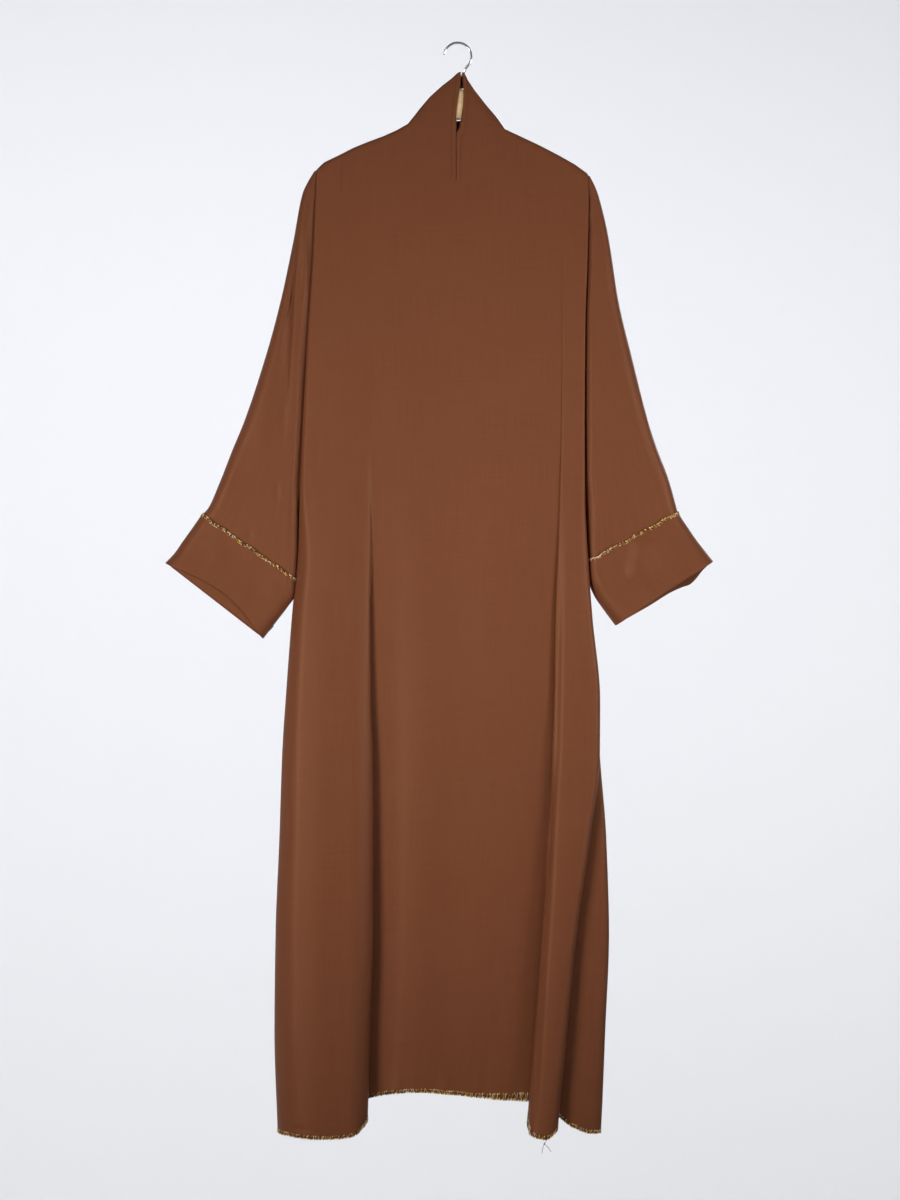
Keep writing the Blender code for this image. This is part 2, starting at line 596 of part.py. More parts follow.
def add_wire(name, route, radius, material):
    """Adds a round wire along a route, with closed ends."""
    curve = bpy.data.curves.new(name, "CURVE")
    curve.dimensions = "3D"
    curve.bevel_depth = radius * MM
    curve.bevel_resolution = 2
    curve.use_fill_caps = True
    spline = curve.splines.new("POLY")
    spline.points.add(len(route) - 1)
    for point, place in zip(spline.points, route):
        point.co = (*(coordinate * MM for coordinate in place), 1.0)
    wire = bpy.data.objects.new(name, curve)
    curve.materials.append(material)
    bpy.context.scene.collection.objects.link(wire)
    return wire


def add_stem_cutter():
    """Adds the guide that cuts the stem's hole in the bar."""
    lowest = -(BAR_HUMP_TOP + STEM_IN_BAR + STEM_CLEARANCE)
    height = STEM_IN_BAR + STEM_CUTTER_EXTRA
    shape = bmesh.new()
    radius = (WIRE_RADIUS + STEM_CLEARANCE) * MM
    middle = Matrix.Translation((STEM_X * MM, 0.0, (lowest + height / 2) * MM))
    bmesh.ops.create_cone(
        shape, cap_ends=True, segments=12, radius1=radius, radius2=radius, depth=height * MM, matrix=middle
    )
    mesh = bpy.data.meshes.new("stem_cutter")
    shape.to_mesh(mesh)
    shape.free()
    cutter = bpy.data.objects.new("stem_cutter", mesh)
    bpy.context.scene.collection.objects.link(cutter)
    cutter.hide_render = True
    cutter.display_type = "WIRE"
    return cutter


def build():
    """Makes the whole part."""
    clear_scene()
    cloth = make_material("Brown crepe", CLOTH_BROWN, 0.62)
    front, slit, in_slit = front_body_grid()
    add_sheet("front_body", front, cloth, leave_out=(slit, in_slit))
    add_sheet("back_body", back_body_grid(), cloth)
    for side, rows in (("left", LEFT_SLEEVE), ("right", RIGHT_SLEEVE)):
        add_sheet(f"front_sleeve_{side}", sleeve_grid(rows, -1), cloth)
        add_sheet(f"back_sleeve_{side}", sleeve_grid(rows, 1), cloth)
        add_sheet(f"cuff_{side}", cuff_grid(rows, CUFF_BACK_LOWER[side]), cloth, ring=True)
    add_bar(make_material("Pale wood", WOOD_BEIGE, 0.5), add_stem_cutter())
    add_wire("hanger_hook", hook_route(), WIRE_RADIUS, make_material("Chromed wire", CHROME_GREY, 0.15, 1.0))


build()
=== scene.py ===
"""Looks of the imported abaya: brown crepe with gold overlocked edges, hanging on a wooden hanger.

Tables hold millimetres in the part's frame, with +Z up, -Y the front and the origin at the hanging point.
`drop` is the distance below that point. Left and right are as seen from the front.
"""

import logging
import math
from dataclasses import dataclass, field
from enum import Enum
from functools import partial
from typing import NamedTuple, Sequence

import bmesh
import bpy
import numpy as np
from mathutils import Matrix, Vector


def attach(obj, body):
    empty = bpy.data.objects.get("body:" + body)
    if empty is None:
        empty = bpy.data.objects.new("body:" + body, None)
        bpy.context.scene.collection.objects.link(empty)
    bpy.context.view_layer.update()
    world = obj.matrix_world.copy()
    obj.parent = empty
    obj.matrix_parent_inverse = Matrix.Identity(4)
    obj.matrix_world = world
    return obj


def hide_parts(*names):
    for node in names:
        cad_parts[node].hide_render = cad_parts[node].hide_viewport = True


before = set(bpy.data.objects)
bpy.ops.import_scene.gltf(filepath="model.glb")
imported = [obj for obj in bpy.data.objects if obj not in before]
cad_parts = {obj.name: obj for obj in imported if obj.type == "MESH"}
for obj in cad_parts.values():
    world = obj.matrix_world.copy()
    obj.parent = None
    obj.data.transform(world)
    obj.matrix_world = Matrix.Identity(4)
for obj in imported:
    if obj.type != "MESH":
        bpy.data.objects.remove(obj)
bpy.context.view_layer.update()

Array = np.ndarray
Row = tuple[float, ...]
Place = tuple[float, float, float]
Pairs = tuple[tuple[float, float], ...]
Piece = bpy.types.Object
Finish = bpy.types.Material
Tree = bpy.types.NodeTree
Socket = bpy.types.NodeSocket

LOG = logging.getLogger("abaya")
MM = 0.001
TINY = 1e-9
CLOTH_THICKNESS = 0.7
CAD_WALL = 1.6
BODY = "root"


class Word(Enum):
    """A choice whose name is part of a piece's name."""

    @property
    def word(self) -> str:
        """The choice's word in a piece's name."""
        return self.name.lower()


class Side(Word):
    """Which side of the garment, as seen from the front, with the sign of X there."""

    LEFT = -1
    RIGHT = 1


class Face(Word):
    """Front or back cloth, with the sign of Y there."""

    FRONT = -1
    BACK = 1


# Curves and creases


def smooth_between(knots: Array, values: Array, at: Array) -> Array:
    """Reads a cubic curve through values at knots, which swings past none of them.

    Args:
        knots: Rising places of the values.
        values: One value, or one row of values, for each knot.
        at: Places to read.

    Returns:
        The curve's values at those places.
    """
    knots = np.asarray(knots, float)
    values = np.asarray(values, float)
    rises = (np.diff(values, axis=0).T / np.diff(knots)).T
    both = rises[:-1] * rises[1:]
    total = rises[:-1] + rises[1:]
    level = np.where(both > 0, 2 * both / np.where(total == 0, 1, total), 0.0)
    slopes = np.concatenate([rises[:1], level, rises[-1:]])
    at = np.clip(at, knots[0], knots[-1])
    first = np.clip(np.searchsorted(knots, at, side="right") - 1, 0, len(knots) - 2)
    span = knots[first + 1] - knots[first]
    s = (at - knots[first]) / span
    if values.ndim > 1:
        span = span[:, None]
        s = s[:, None]
    start = (1 + 2 * s) * (1 - s) ** 2 * values[first] + s * (1 - s) ** 2 * span * slopes[first]
    end = s * s * (3 - 2 * s) * values[first + 1] + s * s * (s - 1) * span * slopes[first + 1]
    return start + end


def curve_at(points: Array, index: Array) -> Array:
    """Reads a smooth curve through points at fractional indexes of them.

    Args:
        points: Guiding points, one a row.
        index: Places to read, where 1.5 is between the second point and the third.

    Returns:
        One point a row.
    """
    points = np.asarray(points, float)
    chords = np.sqrt(np.linalg.norm(np.diff(points, axis=0), axis=1))
    knots = np.concatenate([[0.0], np.cumsum(chords)])
    return smooth_between(knots, points, np.interp(index, np.arange(len(points)), knots))


def soft_step(share: Array) -> Array:
    """Goes from 0 to 1 with level ends as share does."""
    share = np.clip(share, 0.0, 1.0)
    return share * share * (3 - 2 * share)


def stations(stretches: Sequence[tuple[float, float]], start: float) -> Array:
    """Places along a way made of stretches.

    Args:
        stretches: The end of each stretch and the spacing in it.
        start: Where the first one starts.

    Returns:
        The places in order.
    """
    places = [start]
    for end, spacing in stretches:
        count = max(1, round((end - places[-1]) / spacing))
        places.extend(np.linspace(places[-1], end, count + 1)[1:])
    return np.array(places)


class Crease(NamedTuple):
    """One crease: a ridge (height above 0) or a furrow along a line of (x, drop).

    wide_left and wide_right are how far it spreads on either side of the line as one goes along it. lift
    raises the cloth on the left side of the line and lowers it on the right, as where a fold was pressed.
    rise and fade are the shares of its length over which it starts and ends.
    """

    line: Pairs
    height: float
    wide_left: float
    wide_right: float
    lift: float = 0.0
    rise: float = 0.4
    fade: float = 0.4


# A crease takes at least this share of its length to rise or fade
LEAST_SHARE = 0.01


def crease_height(x: Array, drop: Array, creases: Sequence[Crease]) -> Array:
    """How far creases raise the cloth at places on it.

    Args:
        x: Places across, in millimetres.
        drop: Places down, in millimetres.
        creases: The creases to add up.

    Returns:
        Millimetres out of the cloth, with the shape of x.
    """
    total = np.zeros_like(x)
    for crease in creases:
        line = np.array(crease.line, float)
        lengths = np.linalg.norm(np.diff(line, axis=0), axis=1)
        starts = np.concatenate([[0.0], np.cumsum(lengths)])
        nearest = np.full(x.shape, np.inf)
        side = np.zeros_like(x)
        along = np.zeros_like(x)
        for index, length in enumerate(lengths):
            run = (line[index + 1] - line[index]) / length
            across_x = x - line[index, 0]
            across_drop = drop - line[index, 1]
            t = np.clip(across_x * run[0] + across_drop * run[1], 0, length)
            away = np.hypot(across_x - t * run[0], across_drop - t * run[1])
            closer = away < nearest
            side = np.where(closer, across_x * run[1] - across_drop * run[0], side)
            along = np.where(closer, (starts[index] + t) / starts[-1], along)
            nearest = np.where(closer, away, nearest)
        reach = nearest / np.where(side > 0, crease.wide_left, crease.wide_right)
        rising = soft_step(along / max(crease.rise, LEAST_SHARE))
        fading = soft_step((1 - along) / max(crease.fade, LEAST_SHARE))
        shape = np.exp(-(reach**2))
        total += rising * fading * (crease.height + crease.lift * np.sign(side) * reach) * shape
    return total


def outward(grid: Array, sign: float = 1.0) -> Array:
    """Unit normals of a grid of places.

    Args:
        grid: The places (row, column, xyz).
        sign: 1 or -1, which turns the normals round.

    Returns:
        The normals, in the grid's shape.
    """
    normal = np.cross(np.gradient(grid, axis=1), np.gradient(grid, axis=0))
    length = np.linalg.norm(normal, axis=2, keepdims=True)
    return sign * normal / np.where(length < TINY, 1.0, length)


# Node trees and finishes

MATH = "ShaderNodeMath"
VECTOR_MATH = "ShaderNodeVectorMath"
NOISE = "ShaderNodeTexNoise"
MAP_RANGE = "ShaderNodeMapRange"
RAMP = "ShaderNodeValToRGB"
BUMP = "ShaderNodeBump"
TEXTURE_PLACE = "ShaderNodeTexCoord"


def linear(colour: str) -> tuple[float, float, float, float]:
    """Turns an sRGB colour to linear.

    Args:
        colour: The hex value, such as #6C3F29.

    Returns:
        Its red, green, blue and alpha.
    """
    channels = [int(colour[i : i + 2], 16) / 255 for i in (1, 3, 5)]
    values = [c / 12.92 if c <= 0.04045 else ((c + 0.055) / 1.055) ** 2.4 for c in channels]
    return (*values, 1.0)


def set_inputs(
    tree: Tree, node: bpy.types.Node, values: dict[str | int, object] | Sequence[object]
) -> None:
    """Sets or links a node's inputs.

    Args:
        tree: The node's tree.
        node: The node.
        values: A value or an output socket to link for each input, by name or index or in their order.
    """
    for name, value in values.items() if isinstance(values, dict) else enumerate(values):
        if isinstance(value, Socket):
            tree.links.new(value, node.inputs[name])
        else:
            node.inputs[name].default_value = value


def add_node(
    tree: Tree,
    kind: str,
    inputs: dict[str | int, object] | Sequence[object] = (),
    output: str | int = 0,
    stops: Sequence[tuple[float, str]] = (),
    **settings: object,
) -> Socket:
    """Adds a node with its settings and links.

    Args:
        tree: The tree that gets the node.
        kind: The node's type name.
        inputs: Its inputs, as set_inputs takes them.
        output: Name or index of the output that is wanted.
        stops: A colour ramp's (place, sRGB hex) pairs.
        settings: Properties of the node itself.

    Returns:
        The wanted output.
    """
    node = tree.nodes.new(kind)
    for name, value in settings.items():
        setattr(node, name, value)
    for _ in stops[2:]:
        node.color_ramp.elements.new(0.5)
    for number, (place, colour) in enumerate(stops):
        node.color_ramp.elements[number].position = place
        node.color_ramp.elements[number].color = linear(colour)
    set_inputs(tree, node, inputs)
    return node.outputs[output]


def new_material(name: str) -> tuple[Finish, Tree, bpy.types.Node]:
    """Makes a material.

    Args:
        name: Its name.

    Returns:
        The material, its tree and its Principled shader.
    """
    material = bpy.data.materials.new(name)
    material.use_nodes = True
    tree = material.node_tree
    return material, tree, tree.nodes["Principled BSDF"]


@dataclass(frozen=True)
class CrepeCloth:
    """Matt polyester crepe, piece-dyed brown: hard-twisted yarns give a pebbled, faintly streaked face.

    It scatters light widely with a soft sheen at grazing angles and no gloss. The yarns are about 0.3 mm,
    too fine for the picture, so the weave is drawn at thread_spacing and its slubs across slub_threads.
    """

    colour: str = "#6C3F29"
    deep_colour: str = "#673B26"
    pale_colour: str = "#71432C"
    sheen_colour: str = "#C98A5C"
    gloss_colour: str = "#E8B58F"
    thread_spacing: float = 1.1
    slub_threads: float = 1.5
    slub_length: float = 55.0
    warp_share: float = 0.7
    mottle_size: float = 140.0
    mottle_share: float = 0.16
    tone_reach: float = 0.25
    roughness: tuple[float, float] = (0.42, 0.52)
    specular: float = 0.24
    sheen: float = 0.10

    def make(self) -> Finish:
        """Builds the material on the cloth's own UV map, which holds metres across and down.

        Returns:
            The material.
        """
        material, tree, shader = new_material("Brown polyester crepe")
        add = partial(add_node, tree)
        place = add("ShaderNodeUVMap", uv_map="weave")
        weft = (1000 / self.slub_length, 1000 / (self.thread_spacing * self.slub_threads), 1.0)
        warp = (weft[1], weft[0] * self.warp_share, 1.0)
        streaks = []
        for scale in (weft, warp):
            drawn = add(VECTOR_MATH, (place, scale), operation="MULTIPLY")
            streaks.append(add(NOISE, {"Vector": drawn, "Scale": 1.0, "Detail": 3.0}))
        threads = add(MATH, streaks, operation="ADD")
        soft = {"Vector": place, "Scale": 1000 / self.mottle_size, "Detail": 2.0, "Roughness": 0.4}
        mottle = add(NOISE, soft)
        uneven = add(MATH, (mottle, self.mottle_share), operation="MULTIPLY")
        tone = add(MATH, (threads, 0.5, uneven), operation="MULTIPLY_ADD")
        middle = 0.5 + 0.5 * self.mottle_share
        places = (middle - self.tone_reach, middle, middle + self.tone_reach)
        stops = tuple(zip(places, (self.deep_colour, self.colour, self.pale_colour)))
        dyed = add(RAMP, {"Fac": tone}, stops=stops)
        small = {"Vector": place, "Scale": 1000 / self.thread_spacing, "Randomness": 0.8}
        pebbles = add("ShaderNodeTexVoronoi", small)
        grain = add(MATH, (pebbles, 0.5, threads), operation="MULTIPLY_ADD")
        spread = dict(zip(("From Min", "From Max", "To Min", "To Max"), (0.7, 1.3, *self.roughness)))
        set_inputs(tree, shader, {
            "Base Color": dyed,
            "Normal": add(BUMP, {"Height": grain, "Strength": 0.12, "Distance": 0.0005}),
            "Roughness": add(MAP_RANGE, {"Value": threads, **spread}),
            "Specular IOR Level": self.specular,
            "Specular Tint": linear(self.gloss_colour),
            "Sheen Weight": self.sheen,
            "Sheen Roughness": 0.35,
            "Sheen Tint": linear(self.sheen_colour),
        })
        return material


@dataclass(frozen=True)
class LurexYarn:
    """Metallised film yarn, twisted and looped by the overlock machine: each bit has its own random tone, and
    the palest bits are painted glints.
    """

    # Each bit takes a random place on these stops, from dark brown through gold; the near-white stops at the
    # top are painted glints
    stops: tuple[tuple[float, str], ...] = (
        (0.00, "#2C1B08"),
        (0.30, "#7A5215"),
        (0.50, "#C08A2C"),
        (0.66, "#F0C65A"),
        (0.80, "#FFE39A"),
        (0.90, "#FFF3E0"),
        (1.00, "#FFFFFF"),
    )

    def make(self) -> Finish:
        """Builds the material, with a tone for each stitch from a random attribute of the mesh, whose top end
        paints near-white glints into the colour.

        Returns:
            The material.
        """
        material, tree, shader = new_material("Gold metallised lurex yarn")
        add = partial(add_node, tree)
        glint = add("ShaderNodeAttribute", output="Fac", attribute_name="glint")
        # The palest stops are painted glints: near-white colour on the least metallic bits, so that they show
        # bright from every side
        film = {"Value": glint, "From Min": 0.4, "From Max": 0.8, "To Min": 0.6, "To Max": 0.05}
        set_inputs(tree, shader, {
            "Base Color": add(RAMP, {"Fac": glint}, stops=self.stops),
            "Roughness": add(MAP_RANGE, {"Value": glint, "To Min": 0.46, "To Max": 0.22}),
            "Metallic": add(MAP_RANGE, film),
        })
        return material


@dataclass(frozen=True)
class SpunThread:
    """Spun polyester sewing thread: matt, with a fine twist, which is drawn at 0.5 mm."""

    name: str
    colour: str
    twist: float = 0.5

    def make(self) -> Finish:
        """Builds the material on Object coordinates.

        Returns:
            The material.
        """
        material, tree, shader = new_material(self.name)
        add = partial(add_node, tree)
        place = add(TEXTURE_PLACE, output="Object")
        twisted = add(NOISE, {"Vector": place, "Scale": 1000 / self.twist, "Detail": 1.0})
        set_inputs(tree, shader, {
            "Normal": add(BUMP, {"Height": twisted, "Strength": 0.4, "Distance": 0.0003}),
            "Base Color": linear(self.colour),
            "Roughness": 0.8,
            "Specular IOR Level": 0.2,
        })
        return material


@dataclass(frozen=True)
class VarnishedWood:
    """Pale lotus wood under clear satin varnish: fine straight grain along the bar."""

    pale: str = "#E9C99B"
    warm: str = "#D9AE78"
    grain_width: float = 1.6
    grain_length: float = 60.0

    def make(self) -> Finish:
        """Builds the material on Object coordinates, with the grain along X.

        Returns:
            The material.
        """
        material, tree, shader = new_material("Varnished pale wood")
        add = partial(add_node, tree)
        place = add(TEXTURE_PLACE, output="Object")
        scale = (1000 / self.grain_length, 1000 / self.grain_width, 1000 / self.grain_width)
        along = add(VECTOR_MATH, (place, scale), operation="MULTIPLY")
        grain = add(NOISE, {"Vector": along, "Scale": 1.0, "Detail": 6.0, "Distortion": 0.4})
        broad = add(NOISE, {"Vector": along, "Scale": 0.12, "Detail": 2.0})
        tone = add(MATH, (broad, 0.6, grain), operation="MULTIPLY_ADD")
        set_inputs(tree, shader, {
            "Base Color": add(RAMP, {"Fac": tone}, stops=((0.55, self.warm), (0.95, self.pale))),
            "Normal": add(BUMP, {"Height": grain, "Strength": 0.12, "Distance": 0.0003}),
            "Roughness": 0.42,
            "Coat Weight": 0.3,
            "Coat Roughness": 0.25,
        })
        return material


@dataclass(frozen=True)
class ChromedSteel:
    """Bright chromed steel wire: a mirror with faint drawing marks, which are drawn at 0.8 mm."""

    colour: str = "#D4D6DA"
    mark: float = 0.8

    def make(self) -> Finish:
        """Builds the material on Object coordinates.

        Returns:
            The material.
        """
        material, tree, shader = new_material("Chromed steel wire")
        add = partial(add_node, tree)
        place = add(TEXTURE_PLACE, output="Object")
        marks = add(NOISE, {"Vector": place, "Scale": 1000 / self.mark, "Detail": 2.0})
        set_inputs(tree, shader, {
            "Roughness": add(MAP_RANGE, {"Value": marks, "To Min": 0.08, "To Max": 0.2}),
            "Base Color": linear(self.colour),
            "Metallic": 1.0,
        })
        return material


@dataclass(frozen=True)
class MattPaint:
    """Matt white paint of the studio's floor and cove, with slight roller stipple."""

    colour: str = "#E9E9EA"
    stipple_scale: float = 60.0

    def make(self) -> Finish:
        """Builds the material on Object coordinates.

        Returns:
            The material.
        """
        material, tree, shader = new_material("Matt white paint")
        add = partial(add_node, tree)
        place = add(TEXTURE_PLACE, output="Object")
        stipple = add(NOISE, {"Vector": place, "Scale": self.stipple_scale, "Detail": 3.0})
        set_inputs(tree, shader, {
            "Normal": add(BUMP, {"Height": stipple, "Strength": 0.05, "Distance": 0.001}),
            "Base Color": linear(self.colour),
            "Roughness": 0.9,
        })
        return material


# Meshes


def dress(piece: Piece, node: str | None = None) -> Piece:
    """Puts a piece on the garment's body and hides the CAD node that it replaces.

    Args:
        piece: The piece.
        node: The CAD node that it replaces, if it replaces one.

    Returns:
        The same piece.
    """
    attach(piece, BODY)
    if node:
        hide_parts(node)
    return piece


def link_object(name: str, data: bpy.types.ID) -> Piece:
    """Makes an object of its data and puts it in the scene.

    Args:
        name: The object's name.
        data: Its mesh, light or camera.

    Returns:
        The new object.
    """
    made = bpy.data.objects.new(name, data)
    bpy.context.scene.collection.objects.link(made)
    return made


def mesh_object(name: str, points: Array, faces: Sequence[Sequence[int]], finish: Finish) -> Piece:
    """Makes a smooth-shaded mesh object.

    Args:
        name: The piece's name.
        points: Its places, in millimetres.
        faces: The indexes of each face's places.
        finish: Its material.

    Returns:
        The new object.
    """
    mesh = bpy.data.meshes.new(name)
    mesh.from_pydata((points * MM).tolist(), [], faces)
    mesh.polygons.foreach_set("use_smooth", np.ones(len(mesh.polygons), bool))
    mesh.materials.append(finish)
    return link_object(name, mesh)


def ring_faces(rings: int, sides: int, first: int = 0) -> list[tuple[int, ...]]:
    """Faces between closed rings of places.

    Args:
        rings: How many rings there are.
        sides: How many places each has.
        first: Index of the first ring's first place.

    Returns:
        The faces, one tuple of indexes each.
    """
    faces = []
    for start in range(first, first + (rings - 1) * sides, sides):
        for i in range(sides):
            j = (i + 1) % sides
            faces.append((start + i, start + j, start + sides + j, start + sides + i))
    return faces


def loft(name: str, points: Array, sides: int, finish: Finish) -> Piece:
    """Makes a solid of closed rings of places, with its ends closed and its faces outwards.

    Args:
        name: The piece's name.
        points: The rings' places, one ring after another.
        sides: How many places each ring has.
        finish: The piece's material.

    Returns:
        The new object.
    """
    count = len(points)
    ends = [tuple(reversed(range(sides))), tuple(range(count - sides, count))]
    piece = mesh_object(name, points, ends + ring_faces(count // sides, sides), finish)
    shape = bmesh.new()
    shape.from_mesh(piece.data)
    bmesh.ops.recalc_face_normals(shape, faces=shape.faces)
    shape.to_mesh(piece.data)
    shape.free()
    return piece


def tube(name: str, route: Array, radii: Array, sides: int, finish: Finish) -> Piece:
    """Makes a round tube with closed ends along a route.

    Args:
        name: The piece's name.
        route: Places along its middle, in millimetres.
        radii: The radius at each place.
        sides: How many sides the tube has.
        finish: Its material.

    Returns:
        The new object.
    """
    tangents = np.gradient(route, axis=0)
    tangents /= np.linalg.norm(tangents, axis=1, keepdims=True)
    points = []
    normal = np.cross(tangents[0], (0.0, 1.0, 0.0))
    for place, tangent, radius in zip(route, tangents, radii):
        normal = normal - tangent * normal.dot(tangent)
        normal /= np.linalg.norm(normal)
        side = np.cross(tangent, normal)
        for turn in np.linspace(0, 2 * math.pi, sides, endpoint=False):
            points.append(place + radius * (math.cos(turn) * normal + math.sin(turn) * side))
    return loft(name, np.array(points), sides, finish)


@dataclass
class ClothSheet:
    """A piece of cloth on a grid of places (row, column, xyz) in millimetres.

    Attributes:
        grid: The middle surface, from its top or upper edge down.
        ring: Whether the last column joins the first.
        skip: Mask of the faces that are left out, or None.
    """

    name: str
    grid: Array
    finish: Finish
    ring: bool = False
    skip: Array | None = None
    thickness: float = CLOTH_THICKNESS

    def build(self) -> Piece:
        """Makes the mesh with its weave map and its wall.

        Returns:
            The new object.
        """
        rows, columns = self.grid.shape[:2]
        index = np.arange(rows * columns).reshape(rows, columns)
        across, up = self._threads()
        if self.ring:
            index = np.concatenate([index, index[:, :1]], axis=1)
            closing = np.linalg.norm(self.grid[:, :1] - self.grid[:, -1:], axis=2).mean()
            across = np.concatenate([across, across[:, -1:] + closing], axis=1)
            up = np.concatenate([up, up[:, :1]], axis=1)
        faces = self._corners(index)
        kept = np.ones(faces.shape[:2], bool) if self.skip is None else ~self.skip
        piece = mesh_object(self.name, self.grid.reshape(-1, 3), faces[kept].tolist(), self.finish)
        mapped = self._corners(np.stack([across, up], axis=-1) * MM)[kept]
        layer = piece.data.uv_layers.new(name="weave")
        layer.data.foreach_set("uv", mapped.reshape(-1).astype(np.float32))
        wall = piece.modifiers.new("Thickness", "SOLIDIFY")
        wall.thickness = self.thickness * MM
        wall.offset = 0.0
        wall.use_rim = True
        return piece

    @staticmethod
    def _corners(values: Array) -> Array:
        """The values at each face's four corners, from a grid of them."""
        return np.stack([values[:-1, :-1], values[1:, :-1], values[1:, 1:], values[:-1, 1:]], axis=2)

    def _threads(self) -> tuple[Array, Array]:
        """Measures the cloth so that its threads run straight.

        Returns:
            Each place's distance across the cloth, and its distance up from the last row.
        """
        steps = np.linalg.norm(np.diff(self.grid, axis=1), axis=2).mean(axis=0)
        across = np.broadcast_to(np.concatenate([[0.0], np.cumsum(steps)]), self.grid.shape[:2])
        falls = np.linalg.norm(np.diff(self.grid, axis=0), axis=2)[::-1]
        up = np.concatenate([np.zeros_like(falls[:1]), np.cumsum(falls, axis=0)])[::-1]
        return across, up


# Sewing: Geometry Nodes along an edge


class EdgePath(NamedTuple):
    """A line on the cloth: its places, the way into the cloth and the way out of its face at each.

    breadth is how many times its usual width the overlock has at each place, if that isn't 1.
    """

    places: Array
    inward: Array
    face: Array
    breadth: Array | None = None

    @staticmethod
    def from_grid(grid: Array, row: int, beside: int, sign: float) -> "EdgePath":
        """Takes a row of a sheet's grid.

        Args:
            grid: The sheet's grid.
            row: The row that is the edge.
            beside: A row further into the cloth.
            sign: 1 or -1, so that the face points outwards.

        Returns:
            The path along that row.
        """
        inward = grid[beside] - grid[row]
        inward /= np.linalg.norm(inward, axis=1, keepdims=True)
        return EdgePath(grid[row], inward, outward(grid, sign)[row])

    def line(self, closed: bool) -> Piece:
        """Makes a bare line of edges that carries the path's directions and breadth as attributes.

        Args:
            closed: Whether its end joins its start.

        Returns:
            The new object.
        """
        count = len(self.places)
        mesh = bpy.data.meshes.new("sewing_path")
        edges = [(i, i + 1) for i in range(count - 1)] + ([(count - 1, 0)] if closed else [])
        mesh.from_pydata((self.places * MM).tolist(), edges, [])
        for name, values in (("inward", self.inward), ("face", self.face)):
            attribute = mesh.attributes.new(name, "FLOAT_VECTOR", "POINT")
            attribute.data.foreach_set("vector", values.reshape(-1).astype(np.float32))
        breadth = np.ones(count) if self.breadth is None else self.breadth
        attribute = mesh.attributes.new("breadth", "FLOAT", "POINT")
        attribute.data.foreach_set("value", breadth.astype(np.float32))
        return link_object("sewing_path", mesh)


def new_tree(
    name: str, inputs: dict[str, str]
) -> tuple[Tree, bpy.types.bpy_prop_collection, bpy.types.Node]:
    """Makes an empty Geometry Nodes tree.

    Args:
        name: The tree's name.
        inputs: The socket type of each of its named inputs.

    Returns:
        The tree, the sockets of its inputs and its output node.
    """
    tree = bpy.data.node_groups.new(name, "GeometryNodeTree")
    for entry, kind in {"Geometry": "Geometry", **inputs}.items():
        tree.interface.new_socket(entry, in_out="INPUT", socket_type=f"NodeSocket{kind}")
    tree.interface.new_socket("Geometry", in_out="OUTPUT", socket_type="NodeSocketGeometry")
    return tree, tree.nodes.new("NodeGroupInput").outputs, tree.nodes.new("NodeGroupOutput")


def end_tree(tree: Tree, made: Socket, finish: Socket, result: bpy.types.Node) -> None:
    """Ends a tree: its mesh is smooth, real and in its material.

    Args:
        tree: The tree.
        made: The mesh or the instances that it makes.
        finish: The material.
        result: The tree's output node.
    """
    for kind in ("GeometryNodeSetShadeSmooth", "GeometryNodeRealizeInstances"):
        made = add_node(tree, kind, {"Geometry": made})
    values = {"Geometry": made, "Material": finish}
    tree.links.new(add_node(tree, "GeometryNodeSetMaterial", values), result.inputs["Geometry"])


def apply_tree(source: Piece, tree: Tree, values: dict[str, object], name: str) -> Piece:
    """Runs a tree on an object, keeps the result as a plain mesh and removes the source.

    Args:
        source: The object that the tree starts from.
        tree: The Geometry Nodes tree.
        values: A value for each of its named inputs.
        name: The new piece's name.

    Returns:
        The new object, at the origin.
    """
    modifier = source.modifiers.new("Sewing", "NODES")
    modifier.node_group = tree
    for item in tree.interface.items_tree:
        if item.item_type == "SOCKET" and item.in_out == "INPUT" and item.name in values:
            modifier[item.identifier] = values[item.name]
    evaluated = source.evaluated_get(bpy.context.evaluated_depsgraph_get())
    mesh = bpy.data.meshes.new_from_object(evaluated)
    mesh.name = name
    bare = source.data
    bpy.data.objects.remove(source, do_unlink=True)
    bpy.data.meshes.remove(bare)
    return link_object(name, mesh)


# A loop's steps start and end at the cloth's edge, and YARN_MIDDLE lies halfway, at the needle line
YARN_STEPS = 6
YARN_MIDDLE = (YARN_STEPS - 1) / 2
YARN_SIDES = 5
ATTRIBUTE = "GeometryNodeInputNamedAttribute"


